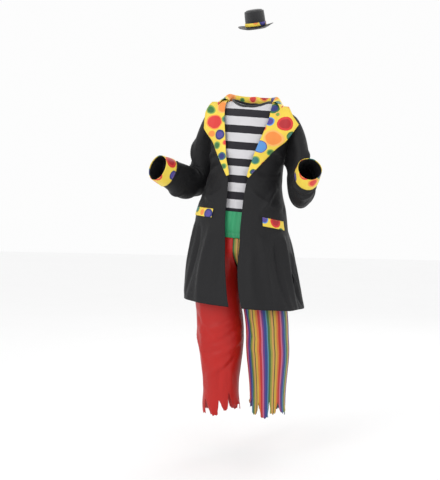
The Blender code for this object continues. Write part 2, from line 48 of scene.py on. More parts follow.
def table(columns, *rows):
    row = namedtuple("Row", columns)
    return [row(*values) for values in rows]


# how far the leaning body's middle has moved sideways
bodyAxis = table(
    "height sideways",
    (0.17, -0.034), (0.55, -0.036), (0.70, -0.050), (0.92, -0.048),
    (1.05, -0.044), (1.20, -0.026), (1.40, -0.004), (1.50, 0.0),
)
bodyRoll = 0.085
shoulderLine = table(
    "out height",
    (0.0, 1.512), (0.08, 1.495), (0.13, 1.478), (0.17, 1.455), (0.20, 1.430), (0.24, 1.390),
)
coatRings = table(
    "height halfWidth front back",
    (0.65, 0.243, 0.178, 0.185),
    (0.80, 0.220, 0.158, 0.162),
    (0.95, 0.200, 0.143, 0.146),
    (1.05, 0.188, 0.137, 0.138),
    (1.12, 0.166, 0.134, 0.134),
    (1.18, 0.156, 0.133, 0.131),
    (1.245, 0.154, 0.130, 0.126),
)
shirtRings = table(
    "height halfWidth front back",
    (0.98, 0.1525, 0.1158, 0.1158),
    (1.10, 0.142, 0.113, 0.110),
    (1.245, 0.139, 0.114, 0.108),
)
frontEdges = table(
    "height right left",
    (0.65, 0.004, 0.050), (0.75, 0.014, 0.036), (0.90, 0.026, 0.034), (1.02, 0.030, 0.038),
    (1.18, 0.038, 0.044), (1.25, 0.060, 0.056), (1.31, 0.072, 0.069), (1.38, 0.087, 0.089),
    (1.44, 0.099, 0.100), (1.50, 0.100, 0.100),
)
coatFolds = table(
    "angle width depth",
    (-150, 15, 0.012), (-112, 14, 0.016), (-62, 13, 0.009), (-28, 12, 0.006), (24, 12, 0.008),
    (66, 13, 0.007), (108, 15, 0.020), (142, 13, 0.010), (176, 14, 0.015),
)
Cut = namedtuple("Cut", "rings armpit shoulder below neckHalf neckFront neckBack folds")
coatCut = Cut(coatRings, 1.245, 0.215, 0.0, 0.100, 0.0, 0.062, coatFolds)
shirtCut = Cut(shirtRings, 1.245, 0.200, 0.0032, 0.085, 0.070, 0.056, [])
domePower = 0.8
armholeTurn = 30.0


def smooth(value, low, high):
    share = np.clip((np.asarray(value, float) - low) / (high - low), 0.0, 1.0)
    return share * share * (3 - 2 * share)


def mix(first, second, share):
    return first * (1 - share) + second * share


def read(rows, name, key):
    # the same smooth curve through a table's rows as the solids follow
    keys = np.array([row[0] for row in rows], float)
    values = np.array([getattr(row, name) for row in rows], float)
    key = np.clip(np.asarray(key, float), keys[0], keys[-1])
    slopes = np.empty_like(values)
    slopes[1:-1] = (values[2:] - values[:-2]) / (keys[2:] - keys[:-2])
    slopes[0] = (values[1] - values[0]) / (keys[1] - keys[0])
    slopes[-1] = (values[-1] - values[-2]) / (keys[-1] - keys[-2])
    at = np.clip(np.searchsorted(keys, key, side="right") - 1, 0, len(keys) - 2)
    step = keys[at + 1] - keys[at]
    share = (key - keys[at]) / step
    start = values[at] + slopes[at] * step * share
    end = values[at + 1] - slopes[at + 1] * step * (1 - share)
    return mix(start, end, smooth(share, 0, 1))


def posed(x, y, height):
    x, y, height = np.broadcast_arrays(x, y, height)
    roll = bodyRoll * smooth(height, 0.2, 0.7)
    return np.stack([x + read(bodyAxis, "sideways", height), y, height - roll * x - holdHeight], axis=-1)


def depthOf(cut, height, angle):
    return np.where(np.cos(angle) > 0, read(cut.rings, "front", height), read(cut.rings, "back", height))


def hanging(cut, angle, height):
    # below the armpits; the angle is 0 in front and grows towards the left side
    out = 0.0
    for fold in cut.folds:
        turn = (np.degrees(angle) - fold.angle + 180) % 360 - 180
        out = out + fold.depth * np.exp(-((turn / fold.width) ** 2))
    loose = 1 + out * smooth(-height, -1.08, -0.65) / 0.2
    x = read(cut.rings, "halfWidth", height) * np.sin(angle) * loose
    return x, -depthOf(cut, height, angle) * np.cos(angle) * loose, height


def ridge(cut, x):
    return read(shoulderLine, "height", np.abs(x)) - cut.below


def halfAt(cut, climb):
    return mix(read(cut.rings, "halfWidth", cut.armpit), cut.shoulder, climb)


def doming(cut, angle, climb):
    # above the armpits; climb is 0 there and 1 on the shoulder seam
    rise = climb * math.pi / 2
    x = halfAt(cut, climb) * np.sin(angle)
    reach = depthOf(cut, cut.armpit, angle) * np.abs(np.cos(angle))
    depth = reach * np.maximum(np.cos(rise), 0) ** domePower
    return x, -np.copysign(depth, np.cos(angle)), mix(cut.armpit, ridge(cut, x), np.sin(rise))


def neckClimb(cut, angle, neckDepth):
    climb = np.ones_like(angle)
    if neckDepth == 0:
        return climb
    reach = depthOf(cut, cut.armpit, angle) * np.abs(np.cos(angle))
    for _ in range(12):
        x = doming(cut, angle, climb)[0]
        inside = np.maximum(1 - (x / cut.neckHalf) ** 2, 0)
        share = np.minimum(neckDepth * np.sqrt(inside) / np.maximum(reach, 1e-6), 1)
        aim = np.arccos(share ** (1 / domePower)) * 2 / math.pi
        climb = np.where(inside > 0, mix(climb, aim, 0.7), 1.0)
    return climb


def armholeAngle(climb):
    return np.radians(90 - armholeTurn * smooth(climb, 0, 0.7))


def frontAt(cut, x, height):
    # the front's point at x and a height, on the upright clothes
    low = np.arcsin(np.clip(x / read(cut.rings, "halfWidth", height), -1, 1))
    lowPoint = hanging(cut, low, np.minimum(height, cut.armpit))
    rise = np.clip((height - cut.armpit) / (ridge(cut, x) - cut.armpit), 0, 1)
    climb = np.arcsin(rise) * 2 / math.pi
    highPoint = doming(cut, np.arcsin(np.clip(x / halfAt(cut, climb), -1, 1)), climb)
    under = height <= cut.armpit
    return np.stack([np.where(under, a, b) for a, b in zip(lowPoint, highPoint)], axis=-1)


def domeAt(x, y):
    climb = np.full(np.shape(x), 0.8)
    for _ in range(20):
        angle = np.arcsin(np.minimum(np.abs(x) / halfAt(coatCut, climb), 0.99))
        angle = np.where(y > 0, math.pi - angle, angle)
        reach = depthOf(coatCut, coatCut.armpit, angle) * np.abs(np.cos(angle))
        aim = np.arccos(np.minimum(np.abs(y) / reach, 1) ** (1 / domePower)) * 2 / math.pi
        climb = mix(climb, aim, 0.6)
    return mix(coatCut.armpit, ridge(coatCut, x), np.sin(climb * math.pi / 2))


print("shapes of the body are set")


# materials: expressions on sockets

class Wire:
    # one output socket; its operators add Math nodes
    def __init__(self, tree, socket):
        self.tree, self.socket = tree, socket

    def math(self, operation, other=None, turned=False):
        operands = [self] if other is None else [other, self] if turned else [self, other]
        return self.tree.node("ShaderNodeMath", {"operation": operation}, dict(enumerate(operands)))

    def __add__(self, other): return self.math("ADD", other)
    def __radd__(self, other): return self.math("ADD", other, True)
    def __sub__(self, other): return self.math("SUBTRACT", other)
    def __rsub__(self, other): return self.math("SUBTRACT", other, True)
    def __mul__(self, other): return self.math("MULTIPLY", other)
    def __rmul__(self, other): return self.math("MULTIPLY", other, True)
    def __truediv__(self, other): return self.math("DIVIDE", other)
    def __rtruediv__(self, other): return self.math("DIVIDE", other, True)
    def __mod__(self, other): return self.math("FLOORED_MODULO", other)
    def __lt__(self, other): return self.math("LESS_THAN", other)
    def __gt__(self, other): return self.math("GREATER_THAN", other)
    def wave(self): return self.math("SINE")
    def clear(self): return self.math("ABSOLUTE")


class Finish:
    # one material; every node but the shader comes from node()
    def __init__(self, name, roughness=0.6, sheen=0.0, sheenRoughness=0.5, specular=0.5):
        self.material = bpy.data.materials.new(name)
        self.material.use_nodes = True
        self.nodes, self.links = self.material.node_tree.nodes, self.material.node_tree.links
        self.shader = self.nodes["Principled BSDF"]
        self.shader.inputs["Roughness"].default_value = roughness
        self.shader.inputs["Sheen Weight"].default_value = sheen
        self.shader.inputs["Sheen Roughness"].default_value = sheenRoughness
        self.shader.inputs["Specular IOR Level"].default_value = specular
        self.objectPlace = self.node("ShaderNodeTexCoord", {}, {}, "Object")
        self.clothPlace = self.node("ShaderNodeUVMap", {"uv_map": "cut"}, {})

    def feed(self, socket, value):
        if isinstance(value, Wire):
            self.links.new(value.socket, socket)
        elif isinstance(value, tuple) and len(value) == 3 and socket.type == "RGBA":
            socket.default_value = (*value, 1)
        else:
            socket.default_value = value

    def node(self, kind, settings, inputs, output=0):
        made = self.nodes.new(kind)
        for name, value in settings.items():
            if name == "stops":
                ramp = made.color_ramp
                while len(ramp.elements) < len(value):
                    ramp.elements.new(0.5)
                for element, (place, colour) in zip(ramp.elements, value):
                    element.position = place
                    element.color = (*colour, 1)
            elif name == "ease":
                made.color_ramp.interpolation = value
            else:
                setattr(made, name, value)
        for name, value in inputs.items():
            self.feed(made.inputs[name], value)
        return Wire(self, made.outputs[output])

    def blend(self, share, first, second, how="MIX"):
        made = self.nodes.new("ShaderNodeMix")
        made.data_type, made.blend_type = "RGBA", how
        for at, value in ((0, share), (6, first), (7, second)):
            self.feed(made.inputs[at], value)
        return Wire(self, made.outputs[2])

    def parts(self, place):
        made = self.nodes.new("ShaderNodeSeparateXYZ")
        self.links.new(place.socket, made.inputs[0])
        return [Wire(self, made.outputs[at]) for at in range(3)]

    def noise(self, place, scale, detail=3.0, roughness=0.5):
        inputs = {"Vector": place, "Scale": scale, "Detail": detail, "Roughness": roughness}
        return self.node("ShaderNodeTexNoise", {}, inputs)

    def weave(self, pitch):
        # threads crossing over and under, as a height from 0 to 1
        across, along, _ = self.parts(self.clothPlace)
        turn = 2 * math.pi / pitch
        return (across * turn).wave() * (along * turn).wave() * 0.5 + 0.5

    def dress(self, colour, rough=None, heights=()):
        self.feed(self.shader.inputs["Base Color"], colour)
        if rough is not None:
            self.feed(self.shader.inputs["Roughness"], rough)
        normal = None
        for height, distance in heights:
            inputs = {"Height": height, "Distance": distance, "Strength": 1.0}
            if normal is not None:
                inputs["Normal"] = normal
            normal = self.node("ShaderNodeBump", {}, inputs)
        if normal is not None:
            self.feed(self.shader.inputs["Normal"], normal)
        return self.material


def blackCloth():
    finish = Finish("blackCloth", roughness=0.6, sheen=0.03, sheenRoughness=0.35, specular=0.27)
    worn = finish.noise(finish.objectPlace, 9.0, 4.0)
    fine = finish.noise(finish.clothPlace, 900.0, 2.0)
    colour = finish.blend(worn, (0.0050, 0.0050, 0.0058), (0.0105, 0.0105, 0.0120))
    crumple = finish.noise(finish.objectPlace, 26.0, 4.0, 0.55)
    heights = [(crumple, 0.004), (finish.weave(0.0011) + fine * 0.4, 0.00018)]
    return finish.dress(colour, worn * 0.16 + 0.5, heights)


def satin(name, low, high, roughness, crumpleScale=20.0):
    finish = Finish(name, roughness=roughness, sheen=0.02, sheenRoughness=0.35, specular=0.34)
    tone = finish.noise(finish.objectPlace, 7.0, 4.0)
    colour = finish.blend(tone, low, high)
    crumple = finish.noise(finish.objectPlace, crumpleScale, 4.0, 0.5)
    slub = finish.noise(finish.clothPlace, 500.0, 2.0)
    rough = tone * 0.14 + (roughness - 0.06)
    return finish.dress(colour, rough, [(crumple, 0.003), (finish.weave(0.0008) + slub * 0.5, 0.0001)])


dotPaints = {
    "red": (0.66, 0.035, 0.030), "deepRed": (0.42, 0.012, 0.020), "orange": (0.86, 0.27, 0.05),
    "pale": (0.90, 0.46, 0.12), "navy": (0.020, 0.030, 0.17), "indigo": (0.075, 0.055, 0.30),
    "blue": (0.09, 0.27, 0.62), "teal": (0.025, 0.17, 0.15), "green": (0.035, 0.16, 0.045),
    "leaf": (0.20, 0.36, 0.06), "pink": (0.74, 0.10, 0.15),
}
# one repeat of the print, in metres from its middle; the ring's width is a share of the radius
dotRepeat = {"across": 0.360, "up": 0.330, "upMiddle": 1.335}
dotPrint = table(
    "across up radius inner ring ringShare",
    (-0.106, 0.122, 0.024, "orange", "pale", 0.22),
    (-0.128, 0.060, 0.030, "red", "orange", 0.14),
    (-0.088, 0.076, 0.014, "teal", "leaf", 0.3),
    (-0.100, 0.010, 0.021, "indigo", "navy", 0.35),
    (-0.136, 0.012, 0.012, "orange", "orange", 0.2),
    (-0.150, 0.104, 0.015, "green", "leaf", 0.3),
    (-0.106, -0.034, 0.016, "green", "leaf", 0.3),
    (-0.070, -0.020, 0.012, "red", "orange", 0.3),
    (-0.076, -0.076, 0.017, "navy", "teal", 0.3),
    (-0.062, -0.118, 0.013, "green", "leaf", 0.3),
    (-0.110, -0.096, 0.022, "red", "orange", 0.3),
    (-0.160, -0.060, 0.028, "orange", "red", 0.3),
    (-0.010, -0.120, 0.027, "blue", "indigo", 0.22),
    (-0.034, -0.042, 0.024, "orange", "pale", 0.26),
    (-0.042, 0.026, 0.024, "deepRed", "orange", 0.22),
    (-0.040, 0.098, 0.022, "green", "teal", 0.3),
    (-0.006, 0.060, 0.014, "indigo", "leaf", 0.3),
    (0.010, 0.008, 0.018, "red", "pale", 0.3),
    (0.018, -0.050, 0.014, "navy", "blue", 0.3),
    (0.018, 0.126, 0.026, "red", "orange", 0.24),
    (0.108, 0.131, 0.020, "navy", "green", 0.34),
    (0.100, 0.078, 0.017, "indigo", "blue", 0.25),
    (0.152, 0.072, 0.026, "deepRed", "red", 0.32),
    (0.080, 0.050, 0.012, "red", "orange", 0.3),
    (0.124, 0.108, 0.010, "leaf", "pale", 0.3),
    (0.118, 0.012, 0.033, "orange", "pale", 0.20),
    (0.076, -0.026, 0.025, "blue", "indigo", 0.12),
    (0.114, -0.046, 0.013, "green", "leaf", 0.3),
    (0.064, -0.082, 0.017, "teal", "leaf", 0.25),
    (0.062, -0.130, 0.012, "navy", "green", 0.3),
    (0.112, -0.104, 0.027, "deepRed", "red", 0.35),
    (0.176, 0.026, 0.019, "teal", "green", 0.3),
    (0.158, -0.026, 0.014, "pink", "orange", 0.3),
    (0.166, 0.142, 0.020, "pink", "orange", 0.3),
    (0.162, -0.128, 0.017, "indigo", "navy", 0.3),
    (0.056, 0.000, 0.011, "green", "leaf", 0.3),
    (0.050, 0.090, 0.014, "orange", "red", 0.25),
)


def dottedCloth():
    # printed dots of many colours on yellow, most with a ring round them
    finish = Finish("dottedCloth", roughness=0.46, sheen=0.05, specular=0.4)
    colour = finish.blend(finish.noise(finish.objectPlace, 12.0), (0.76, 0.53, 0.045), (0.88, 0.69, 0.085))
    across, up, _ = finish.parts(finish.clothPlace)
    wobble = finish.noise(finish.clothPlace, 55.0, 1.0) * 0.004 - 0.002
    for dot in dotPrint:
        halfAcross, halfUp = dotRepeat["across"] / 2, dotRepeat["up"] / 2
        sideways = (across - (dot.across - halfAcross)) % dotRepeat["across"] - halfAcross
        upwards = (up - (dotRepeat["upMiddle"] + dot.up - halfUp)) % dotRepeat["up"] - halfUp
        far = (sideways * sideways + upwards * upwards).math("SQRT") + wobble
        colour = finish.blend(far < dot.radius, colour, dotPaints[dot.ring])
        colour = finish.blend(far < dot.radius * (1 - dot.ringShare), colour, dotPaints[dot.inner])
    crumple = finish.noise(finish.objectPlace, 30.0, 3.0)
    return finish.dress(colour, None, [(crumple, 0.002), (finish.weave(0.0009), 0.0001)])


def stripedKnit():
    # the second cloth coordinate is the height on the upright shirt
    stripes = {"pitch": 0.0677, "black": 0.0315, "blackMiddle": 1.442, "blur": 0.0006}
    finish = Finish("stripedKnit", roughness=0.82, sheen=0.2, specular=0.3)
    _, height, _ = finish.parts(finish.clothPlace)
    wobble = finish.noise(finish.objectPlace, 40.0) * 0.002 - 0.001
    phase = (height + wobble - (stripes["blackMiddle"] - stripes["pitch"] * 20.5)) % stripes["pitch"]
    away = (phase - stripes["pitch"] / 2).clear()
    tone = finish.noise(finish.objectPlace, 14.0, 4.0)
    white = finish.blend(tone, (0.54, 0.53, 0.56), (0.70, 0.69, 0.71))
    black = finish.blend(tone, (0.010, 0.009, 0.014), (0.020, 0.018, 0.025))
    colour = finish.blend(away < stripes["black"] / 2, white, black)
    crumple = finish.noise(finish.objectPlace, 22.0, 4.0)
    return finish.dress(colour, None, [(crumple, 0.003), (finish.weave(0.0016), 0.0003)])


rainbowStops = table(
    "width colour",
    (11, (0.62, 0.42, 0.05)),
    (9, (0.70, 0.20, 0.03)),
    (11, (0.52, 0.025, 0.03)),
    (7, (0.60, 0.16, 0.28)),
    (7, (0.16, 0.035, 0.22)),
    (11, (0.03, 0.06, 0.27)),
    (5, (0.10, 0.28, 0.42)),
    (9, (0.05, 0.16, 0.06)),
    (8, (0.32, 0.34, 0.05)),
    (9, (0.66, 0.36, 0.10)),
    (4, (0.035, 0.045, 0.030)),
)


stripeShift = 0.029   # metres from the inner seam to the first stripe


def rainbowCloth():
    finish = Finish("rainbowCloth", roughness=0.5, sheen=0.03, specular=0.36)
    across, _, _ = finish.parts(finish.clothPlace)
    wholeRepeat = sum(stop.width for stop in rainbowStops)
    place, stops = 0, []
    for stop in rainbowStops:
        stops.append((place / wholeRepeat, stop.colour))
        place += stop.width
    wobble = finish.noise(finish.objectPlace, 25.0) * 0.0012
    share = ((across + wobble - stripeShift) % (wholeRepeat / 1000)) / (wholeRepeat / 1000)
    stripe = finish.node("ShaderNodeValToRGB", {"stops": stops, "ease": "CONSTANT"}, {0: share})
    tone = finish.noise(finish.objectPlace, 10.0, 4.0)
    colour = finish.blend(tone * 0.5 + 0.35, stripe, (0.60, 0.56, 0.54), "MULTIPLY")
    crumple = finish.noise(finish.objectPlace, 20.0, 4.0)
    return finish.dress(colour, None, [(crumple, 0.003), (finish.weave(0.0009), 0.0001)])


def felt(name, low, high):
    finish = Finish(name, roughness=0.9, sheen=0.35, sheenRoughness=0.6, specular=0.25)
    fuzz = finish.noise(finish.objectPlace, 700.0, 3.0, 0.7)
    colour = finish.blend(finish.noise(finish.objectPlace, 30.0, 4.0), low, high)
    return finish.dress(colour, None, [(fuzz, 0.0006)])


def thread(name, colour):
    finish = Finish(name, roughness=0.55, specular=0.4)
    return finish.dress(finish.blend(finish.noise(finish.objectPlace, 800.0), colour, tuple(c * 0.7 for c in colour)))


paints = {
    "blackCloth": blackCloth(),
    "dottedCloth": dottedCloth(),
    "stripedKnit": stripedKnit(),
    "blackKnit": felt("blackKnit", (0.009, 0.009, 0.010), (0.018, 0.018, 0.020)),
    "greenSatin": satin("greenSatin", (0.018, 0.24, 0.095), (0.045, 0.38, 0.17), 0.36),
    "redSatin": satin("redSatin", (0.35, 0.007, 0.005), (0.50, 0.011, 0.007), 0.46),
    "rainbowCloth": rainbowCloth(),
    "blackFelt": felt("blackFelt", (0.008, 0.008, 0.009), (0.018, 0.018, 0.020)),
    "blackThread": thread("blackThread", (0.02, 0.02, 0.022)),
    "goldThread": thread("goldThread", (0.75, 0.50, 0.08)),
}
print("materials are made")


# cloth: grids of points made into thin walls

def normalsOf(points, closed=False):
    if closed:
        across = np.roll(points, -1, axis=1) - np.roll(points, 1, axis=1)
    else:
        across = np.gradient(points, axis=1)
    up = np.gradient(points, axis=0)
    normal = np.cross(across, up)
    return normal / np.maximum(np.linalg.norm(normal, axis=-1, keepdims=True), 1e-12)


def pressed(across, up, creases):
    # soft ridges and, where the depth is below 0, troughs; each fades to its ends and may bow sideways
    out = np.zeros(np.broadcast(across, up).shape)
    for crease in creases:
        runX, runY = crease.toAcross - crease.across, crease.toUp - crease.up
        long = math.hypot(runX, runY)
        share = ((across - crease.across) * runX + (up - crease.up) * runY) / long ** 2
        share = np.clip(share, -0.4, 1.4)
        bowed = crease.bow * 4 * share * (1 - share)
        side = ((across - crease.across) * runY - (up - crease.up) * runX) / long - bowed
        past = np.maximum(np.maximum(-share, share - 1), 0) * long
        shape = np.exp(-((side / crease.width) ** 2) - (past / (crease.width * 1.2)) ** 2)
        out += crease.depth * shape * smooth(share, -0.25, 0.3) * (1 - 0.7 * smooth(share, 0.5, 1.2))
    return out


def gridFaces(rows, columns, closed):
    last = columns if closed else columns - 1
    row, column = np.meshgrid(np.arange(rows - 1), np.arange(last), indexing="ij")
    side = (column + 1) % columns
    near = row * columns
    return np.stack([near + column, near + side, near + side + columns, near + column + columns], -1).reshape(-1, 4)


def finishPiece(name, points, faces, cut, paint, nodeNames, thickness=clothThickness, outward=False):
    # points and cut are (n, 3) and (n, 2); cut is the place on the flat cloth in metres
    mesh = bpy.data.meshes.new(name)
    mesh.from_pydata(points.tolist(), [], [list(map(int, face)) for face in faces])
    mesh.update()
    layer = mesh.uv_layers.new(name="cut")
    corner = np.empty(len(mesh.loops), int)
    mesh.loops.foreach_get("vertex_index", corner)
    layer.data.foreach_set("uv", np.asarray(cut, float)[corner].ravel())
    mesh.shade_smooth()
    mesh.materials.append(paints[paint])
    piece = bpy.data.objects.new(name, mesh)
    bpy.context.scene.collection.objects.link(piece)
    if thickness:
        wall = piece.modifiers.new("wall", "SOLIDIFY")
        wall.thickness = thickness
        wall.offset = 1 if outward else -1
    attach(piece, "root")
    if nodeNames:
        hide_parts(*nodeNames)
    return piece


def cloth(name, points, paint, nodeNames, middle, cut=None, creases=None, closed=False, **more):
    # a wall through a grid of points, its outer face turned away from the middle
    rows, columns = points.shape[:2]
    normal = normalsOf(points, closed)
    row, column = rows // 2, columns // 2
    away = float(np.dot(normal[row, column], points[row, column] - np.asarray(middle))) > 0
    if creases is not None:
        points = points + normal * (1 if away else -1) * creases[..., None]
    faces = gridFaces(rows, columns, closed)
    if not away:
        faces = faces[:, ::-1]
    if cut is None:
        cut = flatPlaces(points)
    return finishPiece(name, points.reshape(-1, 3), faces, cut.reshape(-1, 2), paint, nodeNames, **more)


def raisedRows(points, middle, creases, lift):
    # the grid's outer face, lifted a little, to lay stitches on
    normal = normalsOf(points)
    row, column = points.shape[0] // 2, points.shape[1] // 2
    away = float(np.dot(normal[row, column], points[row, column] - np.asarray(middle))) > 0
    return points + normal * (1 if away else -1) * (creases[..., None] + lift)


def flatPlaces(points):
    # metres along each row and column
    across = np.linalg.norm(np.diff(points, axis=1), axis=-1)
    up = np.linalg.norm(np.diff(points, axis=0), axis=-1)
    u = np.concatenate([np.zeros((len(points), 1)), np.cumsum(across, axis=1)], axis=1)
    v = np.concatenate([np.zeros((1, points.shape[1])), np.cumsum(up, axis=0)], axis=0)
    u = u - u[:, u.shape[1] // 2][:, None]
    return np.stack([u, v], axis=-1)


def onAxis(height):
    return posed(0.0, 0.0, height)


# stitches: a Geometry Nodes tree lays short threads along a path

def stitchTree():
    tree = bpy.data.node_groups.new("stitches", "GeometryNodeTree")
    tree.interface.new_socket("Geometry", in_out="INPUT", socket_type="NodeSocketGeometry")
    tree.interface.new_socket("Pitch", in_out="INPUT", socket_type="NodeSocketFloat")
    tree.interface.new_socket("Long", in_out="INPUT", socket_type="NodeSocketFloat")
    tree.interface.new_socket("Thick", in_out="INPUT", socket_type="NodeSocketFloat")
    tree.interface.new_socket("Thread", in_out="INPUT", socket_type="NodeSocketMaterial")
    tree.interface.new_socket("Geometry", in_out="OUTPUT", socket_type="NodeSocketGeometry")
    make = tree.nodes.new
    link = tree.links.new
    given, result = make("NodeGroupInput"), make("NodeGroupOutput")
    toCurve = make("GeometryNodeMeshToCurve")
    spaced = make("GeometryNodeCurveToPoints")
    spaced.mode = "LENGTH"
    shape = make("GeometryNodeMeshUVSphere")
    shape.inputs["Segments"].default_value = 6
    shape.inputs["Rings"].default_value = 4
    shape.inputs["Radius"].default_value = 0.5
    size = make("ShaderNodeCombineXYZ")
    sized = make("GeometryNodeTransform")
    placed = make("GeometryNodeInstanceOnPoints")
    turn = make("FunctionNodeAlignEulerToVector")
    turn.axis = "Z"
    real = make("GeometryNodeRealizeInstances")
    painted = make("GeometryNodeSetMaterial")
    link(given.outputs["Geometry"], toCurve.inputs[0])
    link(toCurve.outputs[0], spaced.inputs["Curve"])
    link(given.outputs["Pitch"], spaced.inputs["Length"])
    for at, name in enumerate(("Thick", "Thick", "Long")):
        link(given.outputs[name], size.inputs[at])
    link(shape.outputs[0], sized.inputs["Geometry"])
    link(size.outputs[0], sized.inputs["Scale"])
    link(spaced.outputs["Points"], placed.inputs["Points"])
    link(sized.outputs[0], placed.inputs["Instance"])
    link(spaced.outputs["Tangent"], turn.inputs["Vector"])
    link(turn.outputs[0], placed.inputs["Rotation"])
    link(placed.outputs[0], real.inputs[0])
    link(real.outputs[0], painted.inputs["Geometry"])
    link(given.outputs["Thread"], painted.inputs["Material"])
    link(painted.outputs[0], result.inputs[0])
    return tree


stitchNodes = stitchTree()
stitchSizes = {"Pitch": 0.0042, "Long": 0.0030, "Thick": 0.0008}


def stitched(name, path, paint):
    # path is an (n, 3) line of points just above the cloth
    mesh = bpy.data.meshes.new(name + "_path")
    mesh.from_pydata(np.asarray(path).tolist(), [(at, at + 1) for at in range(len(path) - 1)], [])
    guide = bpy.data.objects.new(name + "_path", mesh)
    bpy.context.scene.collection.objects.link(guide)
    lay = guide.modifiers.new("stitches", "NODES")
    lay.node_group = stitchNodes
    values = dict(stitchSizes, Thread=paints[paint])
    for item in stitchNodes.interface.items_tree:
        if item.in_out == "INPUT" and item.name in values:
            lay[item.identifier] = values[item.name]
    made = bpy.data.meshes.new_from_object(guide.evaluated_get(bpy.context.evaluated_depsgraph_get()))
    bpy.data.objects.remove(guide)
    made.name = name
    made.shade_smooth()
    row = bpy.data.objects.new(name, made)
    bpy.context.scene.collection.objects.link(row)
    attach(row, "root")
    return row


Crease = namedtuple("Crease", "across up toAcross toUp width depth bow")


def creasesOf(*rows):
    return [Crease(*row) for row in rows]


# coat

coat = {
    "columns": 70,
    "hangingRows": 90,
    "domeRows": 44,
    "seam": 0.0004,
    "shoulderGap": 0.0008,
    "hemRow": 3,
    "degree": 0.0030,   # metres of cloth for each degree round the body
}
# across is degrees round the body times the size of a degree, up is height
coatFrontCreases = {
    "right": creasesOf(
        (-0.10, 1.02, -0.20, 1.16, 0.012, 0.006, 0.010),
        (-0.13, 1.00, -0.24, 1.08, 0.010, -0.005, 0.006),
        (-0.08, 0.98, -0.11, 0.66, 0.016, 0.007, 0.008),
        (-0.15, 0.96, -0.19, 0.66, 0.014, -0.006, -0.008),
        (-0.20, 0.98, -0.23, 0.68, 0.015, 0.006, 0.006),
        (-0.12, 1.28, -0.24, 1.24, 0.011, 0.005, 0.006),
        (-0.11, 1.22, -0.23, 1.19, 0.010, -0.004, 0.004),
        (-0.06, 1.12, -0.16, 1.08, 0.010, 0.004, -0.006),
        (-0.04, 0.90, -0.05, 0.68, 0.012, -0.003, 0.004),
    ),
    "left": creasesOf(
        (0.10, 1.02, 0.20, 1.14, 0.012, 0.006, -0.010),
        (0.16, 0.98, 0.25, 1.06, 0.011, -0.005, -0.006),
        (0.11, 0.94, 0.13, 0.64, 0.016, 0.007, -0.006),
        (0.17, 0.95, 0.20, 0.65, 0.013, -0.006, 0.008),
        (0.22, 0.96, 0.25, 0.66, 0.014, 0.007, 0.004),
        (0.13, 1.29, 0.25, 1.25, 0.011, 0.006, -0.006),
        (0.10, 1.20, 0.23, 1.20, 0.010, -0.005, 0.005),
        (0.07, 1.13, 0.17, 1.07, 0.010, 0.004, 0.005),
        (0.07, 0.88, 0.075, 0.66, 0.012, 0.003, 0.004),
    ),
}
coatBackCreases = creasesOf(
    (0.36, 1.24, 0.44, 1.02, 0.014, 0.006, 0.012),
    (0.70, 1.25, 0.62, 1.04, 0.014, 0.006, -0.012),
    (0.42, 1.02, 0.40, 0.66, 0.018, 0.008, 0.010),
    (0.50, 1.06, 0.51, 0.66, 0.016, -0.007, -0.010),
    (0.57, 1.02, 0.59, 0.66, 0.018, 0.008, 0.008),
    (0.66, 0.98, 0.68, 0.66, 0.016, -0.007, -0.006),
    (0.34, 0.96, 0.33, 0.66, 0.015, 0.007, 0.006),
    (0.40, 1.10, 0.66, 1.09, 0.013, 0.004, 0.010),
    (0.44, 1.16, 0.60, 1.17, 0.011, -0.004, -0.006),
    (0.36, 1.34, 0.46, 1.28, 0.014, 0.004, 0.008),
    (0.72, 1.34, 0.62, 1.29, 0.014, 0.004, -0.008),
    (0.276, 0.84, 0.300, 0.76, 0.009, -0.004, 0.0),
    (0.274, 0.79, 0.302, 0.71, 0.009, 0.005, 0.0),
    (0.274, 0.74, 0.300, 0.67, 0.008, -0.005, 0.0),
    (0.288, 0.88, 0.312, 0.82, 0.010, 0.004, 0.0),
)


def softened(values, reach):
    # each row's running mean, so that no column turns sharply away from the next
    wide = np.pad(values, ((0, 0), (reach, reach)), mode="edge")
    count = values.shape[1]
    return sum(wide[:, step:step + count] for step in range(2 * reach + 1)) / (2 * reach + 1)


def torsoGrid(cut, starts, ends, foot, columns, hangingRows, domeRows, neckDepth=0.0):
    # starts and ends give the edge angles for arrays of heights, and of climbs
    across = np.linspace(0, 1, columns)[None, :]
    heights = np.linspace(foot, cut.armpit, hangingRows + 1)[:-1, None]
    first, last = starts(heights, None), ends(heights, None)
    lowAngle = first + (last - first) * across
    low = np.stack(np.broadcast_arrays(*hanging(cut, lowAngle, heights + 0 * lowAngle)), -1)
    climbs = np.linspace(0, 1, domeRows + 1)[:, None]
    first, last = starts(None, climbs), ends(None, climbs)
    highAngle = first + (last - first) * across
    neck = neckClimb(cut, highAngle, neckDepth)
    if neckDepth:
        neck = softened(neck, 4)
    climb = climbs * neck
    high = np.stack(np.broadcast_arrays(*doming(cut, highAngle, climb)), -1)
    upright = np.concatenate([low, high])
    angle = np.concatenate([lowAngle + 0 * low[..., 0], highAngle])
    return upright, angle


def sideSeam(sign, face, seam=coat["seam"]):
    def edge(height, climb):
        turn = np.full(np.shape(height), math.pi / 2) if climb is None else armholeAngle(climb)
        turn = turn - seam
        return sign * (turn if face == "front" else math.pi - turn)
    return edge


def frontEdge(side):
    sign = 1 if side == "left" else -1

    def edge(height, climb):
        if climb is None:
            return np.arcsin(sign * read(frontEdges, side, height) / read(coatRings, "halfWidth", height))
        angle = np.full(np.shape(climb), 0.3)
        for _ in range(12):
            level = doming(coatCut, angle, climb)[2]
            angle = np.arcsin(sign * read(frontEdges, side, level) / halfAt(coatCut, climb))
        return angle
    return edge


